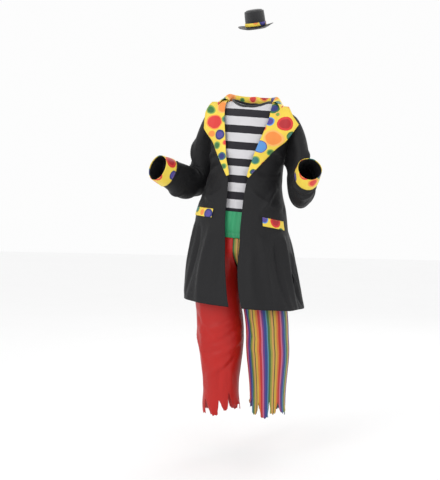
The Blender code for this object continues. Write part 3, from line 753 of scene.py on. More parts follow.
def shoulderApart(points, sign):
    last = points[-1]
    near = np.abs(last[:, 1]) < coat["shoulderGap"]
    last[near, 1] = sign * coat["shoulderGap"]
    return points


def held(angle, height, cut):
    # creases fade above the armpits, towards the armholes and the shoulders
    return 1 - smooth(height, cut.armpit + 0.06, cut.armpit + 0.17)


pockets = {
    "right": {"start": 27, "end": 67, "height": 1.006, "drop": 0.0, "print": (0.0, 0.325)},
    "left": {"start": 38, "end": 75, "height": 0.990, "drop": 0.014, "print": (-0.02, 0.395)},
    "depth": 0.036,
}


def underPocket(side, degrees, height):
    # 1 where a pocket flap lies, fading out round it
    flap, depth = pockets[side], pockets["depth"]
    along = smooth(degrees, flap["start"] - 9, flap["start"] - 1) * (1 - smooth(degrees, flap["end"] + 1, flap["end"] + 9))
    low = flap["height"] - flap["drop"]
    return along * smooth(height, low - 0.05, low - 0.005) * (1 - smooth(height, low + depth + 0.02, low + depth + 0.06))


def coatFront(side):
    upright, angle = torsoGrid(
        coatCut, frontEdge(side), sideSeam(1 if side == "left" else -1, "front"), coatRings[0].height,
        coat["columns"], coat["hangingRows"], coat["domeRows"],
    )
    across = np.degrees(angle) * coat["degree"]
    height = upright[..., 2]
    creases = 1.9 * pressed(across, height, coatFrontCreases[side]) * held(angle, height, coatCut)
    creases *= 1 - underPocket(side, np.abs(np.degrees(angle)), height)
    points = shoulderApart(posed(upright[..., 0], upright[..., 1], height), -1)
    name = "coat_front_" + side
    piece = cloth(name + "_cloth", points, "blackCloth", [name], onAxis(1.0), creases=creases)
    rows = raisedRows(points, onAxis(1.0), creases, 0.0003)
    hem = coat["hemRow"]
    stitched(f"coat_hem_{side}_stitches", rows[hem, 1:-1], "blackThread")
    stitched(f"coat_edge_{side}_stitches", rows[hem:coat["hangingRows"] - 18, 3], "blackThread")


def coatBack():
    start, end = sideSeam(1, "back"), sideSeam(-1, "back")
    upright, angle = torsoGrid(
        coatCut, start, lambda h, c: 2 * math.pi + end(h, c), coatRings[0].height,
        coat["columns"] * 2, coat["hangingRows"], coat["domeRows"], coatCut.neckBack,
    )
    across = np.degrees(angle) * coat["degree"]
    height = upright[..., 2]
    creases = 1.9 * pressed(across, height, coatBackCreases) * held(angle, height, coatCut)
    middleSeam = np.abs(np.arange(upright.shape[1]) - upright.shape[1] // 2) < 1
    creases = creases - 0.0012 * middleSeam[None, :] * (height < 1.44)
    points = shoulderApart(posed(upright[..., 0], upright[..., 1], height), 1)
    piece = cloth("coat_back_cloth", points, "blackCloth", ["coat_back"], onAxis(1.0), creases=creases)
    rows = raisedRows(points, onAxis(1.0), creases, 0.0003)
    stitched("coat_hem_back_stitches", rows[coat["hemRow"], 1:-1], "blackThread")


# sleeves: the armhole, the cap, the bent elbow and the forearm

Arm = namedtuple("Arm", "start elbow cuff across deep cuffAcross cuffDeep bend droop")
arms = {
    "right": Arm((-0.225, 0.034, 1.222), (-0.239, 0.045, 1.138), (-0.3585, -0.165, 1.218),
                 0.044, 0.062, 0.050, 0.052, 0.068, 0.018),
    "left": Arm((0.200, -0.015, 1.190), (0.208, -0.040, 1.092), (0.292, -0.215, 1.208),
                0.046, 0.060, 0.046, 0.048, 0.066, 0.018),
}
sleeve = {"sides": 84, "capRows": 34, "capReach": 0.5, "bendRows": 44, "forearmRows": 40, "cuffWidth": 0.055, "cuffGap": 0.0003,
          "creaseGain": 1.9, "crookCalm": 0.85}
# across is turns round the sleeve in quarters: 0 outer, 1 in the crook, 2 at the body, 3 at the elbow's point;
# up is metres along it from the shoulder
sleeveCreases = {
    "right": creasesOf(
        (0.3, 0.10, 1.0, 0.17, 0.010, 0.006, 0.004), (0.5, 0.15, 1.5, 0.19, 0.008, -0.006, 0.0),
        (0.1, 0.19, 1.1, 0.21, 0.009, 0.007, 0.004), (0.4, 0.215, 1.7, 0.225, 0.007, -0.007, 0.0),
        (0.5, 0.245, 1.6, 0.24, 0.008, 0.006, 0.0), (0.1, 0.27, 1.2, 0.255, 0.008, -0.005, 0.002),
        (0.2, 0.31, 1.3, 0.27, 0.009, 0.005, 0.0), (2.4, 0.26, 3.6, 0.30, 0.012, -0.004, 0.006),
        (2.5, 0.32, 3.5, 0.36, 0.011, 0.004, 0.0), (0.4, 0.38, 1.4, 0.42, 0.010, -0.004, 0.004),
        (3.0, 0.08, 3.7, 0.16, 0.012, 0.005, 0.0), (3.2, 0.40, 4.1, 0.46, 0.010, 0.004, 0.0),
        (-0.4, 0.33, 0.7, 0.385, 0.009, 0.005, 0.004), (-0.5, 0.37, 0.5, 0.415, 0.008, -0.005, 0.0),
        (0.8, 0.40, 2.0, 0.41, 0.008, 0.004, 0.003), (-0.6, 0.13, 0.3, 0.21, 0.010, -0.004, 0.004),
    ),
    "left": creasesOf(
        (0.2, 0.12, 1.0, 0.19, 0.010, 0.006, 0.004), (0.6, 0.17, 1.6, 0.21, 0.008, -0.006, 0.0),
        (0.1, 0.22, 1.1, 0.235, 0.009, 0.007, 0.004), (0.4, 0.245, 1.7, 0.25, 0.007, -0.007, 0.0),
        (0.5, 0.27, 1.6, 0.265, 0.008, 0.006, 0.0), (0.1, 0.30, 1.2, 0.285, 0.008, -0.005, 0.002),
        (0.2, 0.34, 1.3, 0.31, 0.009, 0.005, 0.0), (2.4, 0.28, 3.6, 0.33, 0.012, -0.004, 0.006),
        (2.6, 0.35, 3.6, 0.39, 0.011, 0.004, 0.0), (3.3, 0.10, 4.0, 0.17, 0.012, 0.005, 0.0),
        (3.2, 0.19, 4.2, 0.24, 0.011, -0.004, 0.004), (-0.4, 0.30, 0.6, 0.36, 0.009, 0.005, 0.004),
        (-0.3, 0.35, 0.8, 0.39, 0.008, -0.005, 0.0), (2.0, 0.38, 3.2, 0.40, 0.009, 0.005, 0.004),
        (3.0, 0.33, 4.2, 0.345, 0.009, -0.005, 0.0),
    ),
}


def sideSign(side):
    return 1 if side == "left" else -1


def armhole(side, sides):
    turn = 2 * np.arange(sides) / sides
    climb = np.where(turn <= 1, 1 - turn, turn - 1)
    angle = armholeAngle(climb)
    angle = np.where(turn > 1, math.pi - angle, angle)
    loop = posed(*doming(coatCut, sideSign(side) * angle, climb))
    return loop + np.array([sideSign(side) * 0.0015, 0, 0])


def armRings(side, bendRows, forearmRows, sides, looser=0.0):
    arm = arms[side]
    start, elbow, cuff = (Vector(point) - Vector((0, 0, holdHeight)) for point in (arm.start, arm.elbow, arm.cuff))
    upper, lower = (elbow - start).normalized(), (cuff - elbow).normalized()
    hinge = upper.cross(lower).normalized()
    bend = upper.angle(lower)
    first = elbow - upper * arm.bend * math.tan(bend / 2)
    pivot = first + hinge.cross(upper) * arm.bend
    path = []
    for share in np.linspace(0, 1, bendRows + 1):
        turned = Matrix.Rotation(bend * share, 3, hinge)
        droop = arm.droop * float(smooth(share, 0, 0.5))
        path.append((pivot + turned @ (first - pivot), turned @ upper, arm.across, arm.deep, droop))
    last = path[-1][0]
    for share in np.linspace(0, 1, forearmRows + 1)[1:]:
        sizes = mix(arm.across, arm.cuffAcross, share), mix(arm.deep, arm.cuffDeep, share)
        path.append((last.lerp(cuff, share), lower, *sizes, arm.droop * (1 - float(smooth(share, 0, 0.9)))))
    outer = hinge if hinge.x * sideSign(side) > 0 else -hinge
    frontSign = 1 if hinge.cross(upper).y < 0 else -1
    turn = 2 * math.pi * np.arange(sides)[:, None] / sides
    rings = []
    for middle, ahead, across, deep, droop in path:
        front = np.array(hinge.cross(ahead)) * frontSign
        out = np.array(outer) * (across + looser) * np.cos(turn)
        reach = np.where(turn < math.pi, deep, deep + droop)
        rings.append(np.array(middle) + out + front * (reach + looser) * np.sin(turn))
    return np.array(rings), np.array(upper)


def makeSleeve(side):
    sides = sleeve["sides"]
    hole = armhole(side, sides)
    rings, ahead = armRings(side, sleeve["bendRows"], sleeve["forearmRows"], sides)
    leave = np.array([sideSign(side), 0, -1]) / math.sqrt(2) * sleeve["capReach"]
    reach = np.linalg.norm(rings[0] - hole, axis=1, keepdims=True)
    rows = []
    for share in np.linspace(0, 1, sleeve["capRows"])[:-1]:
        first = hole + leave * reach * share
        last = rings[0] - ahead * reach * sleeve["capReach"] * (1 - share)
        rows.append(mix(first, last, float(smooth(share, 0, 1))))
    points = np.concatenate([np.array(rows), rings])
    middles = points.mean(axis=1)
    along = np.concatenate([[0], np.cumsum(np.linalg.norm(np.diff(middles, axis=0), axis=1))])[:, None]
    quarter = (4 * np.arange(sides) / sides)[None, :]
    radius = 0.09   # metres for each quarter turn
    creases = np.zeros(points.shape[:2])
    for crease in sleeveCreases[side]:
        scaled = crease._replace(across=crease.across * radius, toAcross=crease.toAcross * radius)
        for turnedBy in (-4, 0, 4):
            creases += sleeve["creaseGain"] * pressed((quarter + turnedBy) * radius, along, [scaled])
    creases *= smooth(along, 0.0, 0.05) * (1 - smooth(along, along[-1] - 0.06, along[-1] - 0.03))
    # the crook is tight, so its creases are shallow
    row = np.arange(len(points))[:, None]
    bendEnd = sleeve["capRows"] + sleeve["bendRows"]
    crook = smooth(row, sleeve["capRows"] - 14, sleeve["capRows"]) * (1 - smooth(row, bendEnd - 4, bendEnd + 10))
    creases *= 1 - sleeve["crookCalm"] * crook * np.exp(-(((quarter - 1) / 0.75) ** 2))
    cut = np.stack(np.broadcast_arrays(quarter * radius, along), -1)
    name = "sleeve_" + side
    middle = middles[len(points) // 2]
    piece = cloth(name + "_cloth", points, "blackCloth", [name], middle, cut=cut, creases=creases, closed=True)


cuffPrint = {"right": (0.0, 1.20), "left": (0.0, 1.20)}   # where the cuff is cut from the print


def makeCuff(side):
    rings, _ = armRings(side, 8, 3, 72, sleeve["cuffGap"])
    before, end = rings[-2], rings[-1]
    length = np.linalg.norm(end.mean(0) - before.mean(0))
    rows = []
    for share in np.linspace(0, 1, 14):
        back = mix(sleeve["cuffWidth"], -0.003, share)
        row = mix(before, end, 1 - back / length)
        flare = 0.05 * (1 - share) + 0.012 * math.sin(math.pi * share)
        rows.append(row + (row - row.mean(0)) * flare)
    points = np.array(rows)
    turn = 2 * math.pi * np.arange(72)[None, :] / 72
    creases = 0.0012 * (np.sin(turn * 3 + 0.8) * 0.6 + np.sin(turn * 5 + 2.1) * 0.4) + 0 * points[..., 0]
    creases = np.maximum(creases + 0.0006, 0)
    cut = np.stack(np.broadcast_arrays(turn * 0.05 + cuffPrint[side][0], np.linspace(0, 0.058, 14)[:, None]
                                       + cuffPrint[side][1]), -1)
    name = "cuff_" + side
    piece = cloth(name + "_cloth", points, "dottedCloth", [name], points[7].mean(0), cut=cut, creases=creases,
                  closed=True, outward=True)
    normal = normalsOf(points, True)
    outSign = 1 if np.dot(normal[7, 0], points[7, 0] - points[7].mean(0)) > 0 else -1
    raised = points + normal * outSign * (creases[..., None] + clothThickness)
    for number, row in enumerate((1, 12)):
        loop = raised[row]
        stitched(f"cuff_{side}_stitches_{number}", np.concatenate([loop, loop[:1]]), "goldThread")


# lapels, collar and pocket flaps lie on the coat

lapelEdges = table(
    "place innerHeight right rightHeight left leftHeight",
    (0.0, 1.185, 0.042, 1.180, 0.048, 1.180),
    (0.2, 1.240, 0.088, 1.250, 0.102, 1.262),
    (0.4, 1.300, 0.130, 1.312, 0.154, 1.338),
    (0.6, 1.370, 0.166, 1.368, 0.200, 1.408),
    (0.8, 1.435, 0.169, 1.428, 0.178, 1.432),
    (1.0, 1.4935, 0.152, 1.4645, 0.156, 1.4625),
)
lapel = {
    "rows": 81, "columns": 26, "gap": 0.0008, "lie": 0.0045, "tipLift": 0.018, "topLift": 0.0025, "roll": 0.004,
    "off": 0.150, "puff": 0.0030,
}


def straight(rows, name, key):
    # a table's column on straight lines between its rows
    return np.interp(key, [row[0] for row in rows], [getattr(row, name) for row in rows])


def makeLapel(side):
    sign, step = sideSign(side), 0.004
    place = np.linspace(0, 1, lapel["rows"])[:, None]
    share = np.linspace(0, 1, lapel["columns"])[None, :]
    innerHeight = straight(lapelEdges, "innerHeight", place)
    outerHeight = straight(lapelEdges, side + "Height", place)
    innerX = read(frontEdges, side, innerHeight) - lapel["roll"]
    x = mix(innerX, straight(lapelEdges, side, place), share)
    height = mix(innerHeight, outerHeight, share)
    onChest = np.minimum(x, lapel["off"])
    here = frontAt(coatCut, sign * onChest, height)
    inward = frontAt(coatCut, sign * (onChest - step), height) - here
    downward = frontAt(coatCut, sign * onChest, height - step) - here
    out = np.cross(inward, downward) * sign
    out /= np.linalg.norm(out, axis=-1, keepdims=True)
    lift = mix(lapel["gap"], lapel["lie"], smooth(share, 0, 0.3)) + lapel["tipLift"] * smooth(x, 0.125, 0.165)
    lift = lift + lapel["topLift"] * smooth(place, 0.75, 1)
    lift = lift + lapel["puff"] * (0.5 + 0.5 * np.sin(place * 9 + 0.6)) * smooth(share, 0.4, 1)
    upright = here + out * lift[..., None] + (x - onChest)[..., None] * np.array([sign, 0.5, 0])
    points = posed(upright[..., 0], upright[..., 1], upright[..., 2])
    name = "lapel_" + side
    cut = np.stack([sign * x, height], -1)
    piece = cloth(name + "_cloth", points, "dottedCloth", [name], onAxis(1.3), cut=cut, outward=True)
    normal = normalsOf(points)
    outSign = 1 if np.dot(normal[30, 10], points[30, 10] - onAxis(1.3)) > 0 else -1
    raised = points + normal * outSign * (clothThickness + 0.0003)
    stitched(f"lapel_{side}_stitches", raised[1:-1, -3], "goldThread")


# how far each line of the collar is out from the neck, and its lift above the neck or, from 0.02 out, the shoulders
collarProfile = table(
    "out lift",
    (-0.0026, -0.001), (-0.0068, 0.016), (-0.003, 0.026), (0.005, 0.030), (0.016, 0.024), (0.034, 0.009),
    (0.056, 0.003),
)
collar = {
    "turn": 120, "narrowing": 0.45, "columns": 130, "rows": 49, "seat": 0.006,
    "endHeight": 0.35, "fullHeight": 0.30, "endLift": 0.007,   # share of the stand's height at the ends, and where it is whole
}


def makeCollar():
    turn = np.radians(np.linspace(-collar["turn"], collar["turn"], collar["columns"]))
    outX, outY = -np.sin(turn), np.cos(turn)
    x = coatCut.neckHalf * np.where(outY > 0, outX, np.sign(outX))
    y = coatCut.neckBack * outY
    neckHeight = domeAt(x, y)
    standing = mix(collar["endHeight"], 1, smooth(outY, -0.37, collar["fullHeight"]))
    levels = []
    for point in collarProfile:
        out = point.out * (1 if point.out < 0 else 1 - collar["narrowing"] * np.maximum(outY, 0))
        hereX, hereY = x + outX * out, y + outY * out
        under = domeAt(hereX, hereY) if point.out > 0 else neckHeight
        height = under + point.lift + collar["endLift"] * (1 - smooth(outY, -0.4, 0.0)) * (point.out > 0)
        if 0 < point.lift and point.out < 0.02:
            height = np.maximum(neckHeight + point.lift * standing, under + collar["seat"])
        levels.append(np.stack([hereX, hereY, height], -1))
    # a Catmull-Rom curve through the lines
    smoothed = []
    for key in np.linspace(0, len(levels) - 1, collar["rows"]):
        at = min(int(key), len(levels) - 2)
        share = key - at
        before, here, beyond, after = (levels[min(max(at + step, 0), len(levels) - 1)] for step in (-1, 0, 1, 2))
        smoothed.append(0.5 * (
            2 * here + (beyond - before) * share
            + (2 * before - 5 * here + 4 * beyond - after) * share ** 2
            + (3 * here - before - 3 * beyond + after) * share ** 3
        ))
    smoothed = np.array(smoothed)
    points = posed(smoothed[..., 0], smoothed[..., 1], smoothed[..., 2])
    faces = gridFaces(*points.shape[:2], False)
    piece = finishPiece("collar_cloth", points.reshape(-1, 3), faces, flatPlaces(points).reshape(-1, 2),
                        "dottedCloth", ["collar"], thickness=0.0016)
    edge = points[-4] + np.array([0, 0, 0.0004])
    stitched("collar_stitches", edge[2:-2], "goldThread")


def makePocket(side):
    sizes = pockets[side]
    sign = sideSign(side)
    share = np.linspace(0, 1, 44)[None, :]
    lift = np.linspace(0, pockets["depth"], 16)[:, None]
    angle = sign * np.radians(mix(sizes["start"], sizes["end"], share)) + 0 * lift
    x, y, level = hanging(coatCut, angle, sizes["height"] + lift - sizes["drop"] * share)
    out = 0.0014 + 0.0022 * smooth(pockets["depth"] - lift, 0, pockets["depth"])
    away = 1 + out / np.hypot(x, y)
    points = posed(x * away, y * away, level)
    cut = np.stack(np.broadcast_arrays(angle * 0.17, level), -1) + sizes["print"]
    name = "pocket_" + side
    piece = cloth(name + "_cloth", points, "dottedCloth", [name], onAxis(1.0), cut=cut, outward=True,
                  thickness=0.002)
    raised = points + (points - np.array(onAxis(1.0))) * [1, 1, 0] * 0.014
    stitched(f"pocket_{side}_stitches", raised[-2, 1:-1], "goldThread")


# shirt, its neck binding and the waistband

shirt = {"columns": 110, "hangingRows": 54, "domeRows": 44, "foot": 1.0}
shirtCreases = {
    "front": creasesOf(
        (-0.03, 1.20, -0.10, 1.06, 0.012, 0.005, 0.006), (0.02, 1.22, 0.08, 1.10, 0.012, -0.004, -0.006),
        (-0.10, 1.30, 0.02, 1.26, 0.012, 0.004, 0.006), (0.10, 1.32, 0.02, 1.25, 0.012, 0.004, 0.004),
        (-0.06, 1.14, 0.06, 1.12, 0.010, -0.003, 0.004), (0.00, 1.10, 0.01, 1.02, 0.009, 0.003, 0.0),
        (-0.05, 1.09, -0.06, 1.02, 0.009, -0.003, 0.0), (0.05, 1.08, 0.05, 1.01, 0.008, 0.003, 0.0),
    ),
    "back": creasesOf(
        (0.45, 1.28, 0.55, 1.10, 0.014, 0.004, 0.006), (0.62, 1.26, 0.54, 1.08, 0.014, -0.004, -0.006),
        (0.50, 1.08, 0.58, 1.07, 0.011, 0.003, 0.004),
    ),
}


def makeShirt(face):
    if face == "front":
        starts, ends = sideSeam(-1, face), sideSeam(1, face)
        neckDepth, sign = shirtCut.neckFront, -1
    else:
        starts, other = sideSeam(1, face), sideSeam(-1, face)
        neckDepth, sign = shirtCut.neckBack, 1

        def ends(height, climb):
            return 2 * math.pi + other(height, climb)
    upright, angle = torsoGrid(
        shirtCut, starts, ends, shirt["foot"], shirt["columns"], shirt["hangingRows"], shirt["domeRows"], neckDepth,
    )
    across, height = np.degrees(angle) * 0.0026, upright[..., 2]
    creases = pressed(across, height, shirtCreases[face]) * held(angle, height, shirtCut)
    creases = np.minimum(creases, 0.0045) * smooth(height, 1.0, 1.05)
    points = shoulderApart(posed(upright[..., 0], upright[..., 1], height), sign)
    cut = np.stack([across, height], -1)
    name = "shirt_" + face
    piece = cloth(name + "_cloth", points, "stripedKnit", [name], onAxis(1.15), cut=cut, creases=creases,
                  thickness=0.0010)


def makeBinding():
    turn = (2 * math.pi * np.arange(120) / 120)[None, :]
    depth = np.where(np.cos(turn) > 0, shirtCut.neckFront, shirtCut.neckBack)
    x, y = shirtCut.neckHalf * np.sin(turn), -depth * np.cos(turn)
    reach = depthOf(shirtCut, shirtCut.armpit, turn) * np.sqrt(1 - (x / shirtCut.shoulder) ** 2)
    rise = np.arccos(np.minimum(np.abs(y) / reach, 1) ** (1 / domePower))
    neck = mix(shirtCut.armpit, ridge(shirtCut, x), np.sin(rise))
    lift = np.linspace(0.0016, 0.010, 6)[:, None]
    shrink = 1 - lift * 0.35 / shirtCut.neckHalf
    puff = 1 + 0.008 * np.sin(math.pi * (lift - 0.0016) / 0.0084)
    points = posed(x * shrink * puff, y * shrink * puff, neck + lift)
    cut = np.stack(np.broadcast_arrays(turn * 0.08, lift), -1)
    piece = cloth("neck_binding_cloth", points, "blackKnit", ["neck_binding"], onAxis(1.48), cut=cut, closed=True,
                  thickness=0.0018)


waistband = {"top": 1.038, "foot": 0.9293, "gathers": 26, "gatherDepth": 0.0036}


def makeWaistband():
    sides = waistband["gathers"] * 12
    turn = (2 * math.pi * np.arange(sides) / sides)[None, :]
    height = np.linspace(waistband["foot"], waistband["top"], 30)[:, None]
    share = (height - waistband["foot"]) / (waistband["top"] - waistband["foot"])
    uneven = turn * waistband["gathers"] + 1.1 * np.sin(turn * 7) + 0.7 * np.sin(share * 5 + turn * 3)
    deep = waistband["gatherDepth"] * (0.55 + 0.3 * np.sin(turn * 11 + 0.5)) * (1 - 0.25 * np.sin(math.pi * share))
    seam = -0.0028 * np.exp(-(((height - 0.9505) / 0.003) ** 2))
    wave = 1 + (deep * np.cos(uneven) + seam) / 0.14
    half = mix(0.158, 0.156, smooth(height, waistband["foot"], waistband["top"])) * wave
    points = posed(half * np.sin(turn), -0.118 * wave * np.cos(turn), height + 0 * turn)
    cut = np.stack(np.broadcast_arrays(turn * 0.14, height), -1)
    piece = cloth("waistband_cloth", points, "greenSatin", ["waistband"], onAxis(0.98), cut=cut, closed=True)


# trousers: each panel runs from the waistband to the strips of its tattered hem

legs = table(
    "height right left depth",
    (0.174, 0.076, 0.074, 0.085), (0.22, 0.079, 0.0745, 0.086), (0.286, 0.075, 0.076, 0.088),
    (0.37, 0.083, 0.083, 0.094), (0.454, 0.0945, 0.090, 0.100), (0.52, 0.099, 0.089, 0.104),
    (0.58, 0.099, 0.090, 0.105), (0.70, 0.097, 0.095, 0.105), (0.80, 0.098, 0.098, 0.110),
)
pelvis = table("height halfWidth depth", (0.75, 0.172, 0.130), (0.85, 0.168, 0.127), (0.929, 0.158, 0.118))
tatterColumns = "end slitTop footStart footEnd foot"
tatters = {
    ("right", "front"): table(
        tatterColumns,
        (0.25, 0.277, 0.02, 0.19, 0.212), (0.43, 0.244, 0.285, 0.365, 0.197),
        (0.71, 0.246, 0.455, 0.60, 0.174), (1.0, 0.250, 0.735, 0.93, 0.176),
    ),
    ("right", "back"): table(
        tatterColumns,
        (0.22, 0.262, 0.03, 0.18, 0.190), (0.50, 0.250, 0.26, 0.45, 0.175),
        (0.74, 0.270, 0.54, 0.68, 0.205), (1.0, 0.255, 0.79, 0.95, 0.180),
    ),
    ("left", "front"): table(
        tatterColumns,
        (0.26, 0.260, 0.02, 0.235, 0.231), (0.43, 0.248, 0.28, 0.40, 0.189),
        (0.62, 0.252, 0.455, 0.60, 0.176), (0.78, 0.246, 0.64, 0.74, 0.193),
        (1.0, 0.250, 0.825, 0.975, 0.193),
    ),
    ("left", "back"): table(
        tatterColumns,
        (0.20, 0.255, 0.03, 0.16, 0.200), (0.45, 0.265, 0.25, 0.40, 0.178),
        (0.72, 0.250, 0.50, 0.66, 0.186), (1.0, 0.262, 0.77, 0.96, 0.175),
    ),
}
trousers = {
    "waist": 0.9287, "crotch": 0.75, "legSpread": 0.103, "seam": 0.0006, "rows": 96, "stripColumns": 10,
    "stripRows": 14, "around": 0.30,   # metres of cloth in half a leg
}
# across is metres from the inner seam, up is height
legCreases = {
    ("right", "front"): creasesOf(
        (0.05, 0.60, 0.22, 0.52, 0.013, 0.007, 0.010), (0.03, 0.56, 0.18, 0.47, 0.011, -0.006, 0.008),
        (0.02, 0.50, 0.16, 0.43, 0.012, 0.006, 0.006), (0.10, 0.46, 0.26, 0.42, 0.012, -0.005, 0.0),
        (0.08, 0.42, 0.20, 0.34, 0.012, 0.005, 0.006), (0.20, 0.66, 0.24, 0.30, 0.016, 0.006, 0.012),
        (0.13, 0.40, 0.14, 0.26, 0.013, -0.005, 0.006), (0.07, 0.38, 0.06, 0.28, 0.012, 0.004, 0.0),
        (0.02, 0.86, 0.10, 0.72, 0.010, 0.004, 0.006), (0.26, 0.60, 0.16, 0.50, 0.011, -0.006, 0.006),
        (0.28, 0.52, 0.20, 0.40, 0.011, 0.005, 0.004), (0.04, 0.44, 0.13, 0.36, 0.010, -0.005, 0.004),
    ),
    ("left", "front"): creasesOf(
        (0.07, 0.62, 0.20, 0.57, 0.016, 0.003, 0.008), (0.06, 0.54, 0.20, 0.51, 0.016, -0.003, 0.006),
        (0.08, 0.48, 0.22, 0.46, 0.016, 0.003, 0.004), (0.08, 0.66, 0.09, 0.30, 0.014, -0.004, 0.008),
        (0.16, 0.50, 0.17, 0.26, 0.014, 0.006, -0.006), (0.23, 0.60, 0.24, 0.28, 0.014, -0.004, 0.006),
        (0.02, 0.86, 0.09, 0.73, 0.010, 0.004, 0.006),
    ),
    ("right", "back"): creasesOf(
        (0.04, 0.56, 0.20, 0.50, 0.013, -0.006, 0.006), (0.05, 0.50, 0.24, 0.46, 0.012, 0.006, 0.006),
        (0.06, 0.45, 0.22, 0.38, 0.012, -0.005, 0.006), (0.14, 0.70, 0.15, 0.30, 0.016, 0.006, 0.010),
        (0.03, 0.84, 0.14, 0.70, 0.014, 0.005, 0.008),
    ),
    ("left", "back"): creasesOf(
        (0.05, 0.57, 0.22, 0.52, 0.013, 0.006, 0.006), (0.04, 0.50, 0.20, 0.47, 0.012, -0.006, 0.006),
        (0.08, 0.44, 0.24, 0.40, 0.012, 0.005, 0.006), (0.12, 0.70, 0.14, 0.30, 0.016, -0.005, 0.010),
        (0.03, 0.84, 0.14, 0.70, 0.014, 0.005, 0.008),
    ),
}


def legPoint(side, face, share, height):
    front = -1 if face == "front" else 1
    turn = mix(trousers["seam"], math.pi - trousers["seam"], share)
    x = trousers["legSpread"] - read(legs, side, height) * np.cos(turn)
    y = front * read(legs, "depth", height) * np.sin(turn)
    turn = mix(trousers["seam"], math.pi / 2 - trousers["seam"], share)
    up = smooth(height, trousers["crotch"], 0.929 - 0.04)
    x = mix(x, read(pelvis, "halfWidth", height) * np.sin(turn), up)
    y = mix(y, front * read(pelvis, "depth", height) * np.cos(turn), up)
    return posed(sideSign(side) * x, y, height)


def makeTrouser(side, face):
    strips = tatters[side, face]
    count = trousers["stripColumns"]
    starts = [0.0] + [strip.end for strip in strips]
    tops = [strips[-1].slitTop] + [strip.slitTop for strip in strips]
    shares = np.concatenate([np.linspace(a, b, count + 1)[:-1] for a, b in zip(starts, starts[1:])] + [[1.0]])
    topLine = np.concatenate([np.linspace(a, b, count + 1)[:-1] for a, b in zip(tops, tops[1:])] + [[tops[-1]]])
    down = np.linspace(0, 1, trousers["rows"])[:, None]
    height = mix(trousers["waist"], topLine[None, :], down)
    share = np.broadcast_to(shares[None, :], height.shape)
    bend = np.arange(len(shares))
    body = legPoint(side, face, share, height)
    around = trousers["around"]
    creases = pressed(share * around, height, legCreases[side, face])
    creases *= (1 - smooth(height, 0.84, 0.9)) * smooth(share, 0, 0.06) * (1 - smooth(share, 0.94, 1))
    creases *= smooth(height, 0.26, 0.30)
    outward = sideSign(side) * (1 if face == "front" else -1)
    normal = normalsOf(body)
    middle = posed(sideSign(side) * trousers["legSpread"], 0.0, 0.5)
    row = len(body) // 2
    if np.dot(normal[row, 20], body[row, 20] - middle) < 0:
        normal = -normal
    body = body + normal * creases[..., None]
    points = [body.reshape(-1, 3)]
    cuts = [np.stack([share * around * sideSign(side) * (1 if face == "front" else -1), height], -1).reshape(-1, 2)]
    faces = [gridFaces(*body.shape[:2], False)]
    lastRow = (len(body) - 1) * len(shares)
    total = body.shape[0] * body.shape[1]
    for number, strip in enumerate(strips):
        columns = np.arange(number * count, number * count + count + 1)
        fall = np.linspace(0, 1, trousers["stripRows"] + 1)[1:, None]
        part = np.linspace(0, 1, count + 1)[None, :]
        foot = mix(strip.footStart, strip.footEnd, part)
        ragged = 0.010 * np.sin(fall * 9 + number * 2.1) * fall * np.abs(part * 2 - 1) ** 3
        place = mix(shares[columns][None, :], foot, fall ** 0.8) + ragged * 0.5 * np.sign(part - 0.5)
        tip = strip.foot + 0.006 * np.abs(np.sin(part * 7 + number)) + 0.010 * np.abs(part - 0.5)
        level = mix(topLine[columns][None, :], tip, fall)
        grid = legPoint(side, face, np.clip(place, 0.002, 0.998), level)
        centre = posed(sideSign(side) * trousers["legSpread"], 0.0, level)
        out = grid - centre
        out[..., 2] = 0
        curl = 0.07 * np.sin(number * 1.7 + 0.8) * fall ** 2 + 0.025 * fall * np.cos(part * 6 + number * 1.3)
        grid = grid + out * curl[..., None]
        points.append(grid.reshape(-1, 3))
        cuts.append(np.stack([place * around * sideSign(side) * (1 if face == "front" else -1), level],
                             -1).reshape(-1, 2))
        ids = np.concatenate([lastRow + columns[None, :], total + np.arange(grid.shape[0] * grid.shape[1]).reshape(
            grid.shape[:2])])
        total += grid.shape[0] * grid.shape[1]
        faces.append(np.stack([ids[:-1, :-1], ids[:-1, 1:], ids[1:, 1:], ids[1:, :-1]], -1).reshape(-1, 4))
    points, cuts, faces = np.concatenate(points), np.concatenate(cuts), np.concatenate(faces)
    one = faces[len(shares) * 40 + 20]
    facing = np.cross(points[one[1]] - points[one[0]], points[one[2]] - points[one[1]])
    if np.dot(facing, points[one[0]] - middle) < 0:
        faces = faces[:, ::-1]
    name = "trouser_" + side + "_" + face
    paint = "redSatin" if side == "right" else "rainbowCloth"
    piece = finishPiece(name + "_cloth", points, faces, cuts, paint, [name])


# hat

hat = {
    "middle": (0.016, 0.0, 1.800), "tilt": 14, "lean": -4, "brim": 0.0735, "crown": 0.042, "height": 0.074, "dish": 0.058, "flat": 0.024,
    "wall": 0.0025, "curl": 0.010, "sides": 120, "bandGap": 0.0004,
}


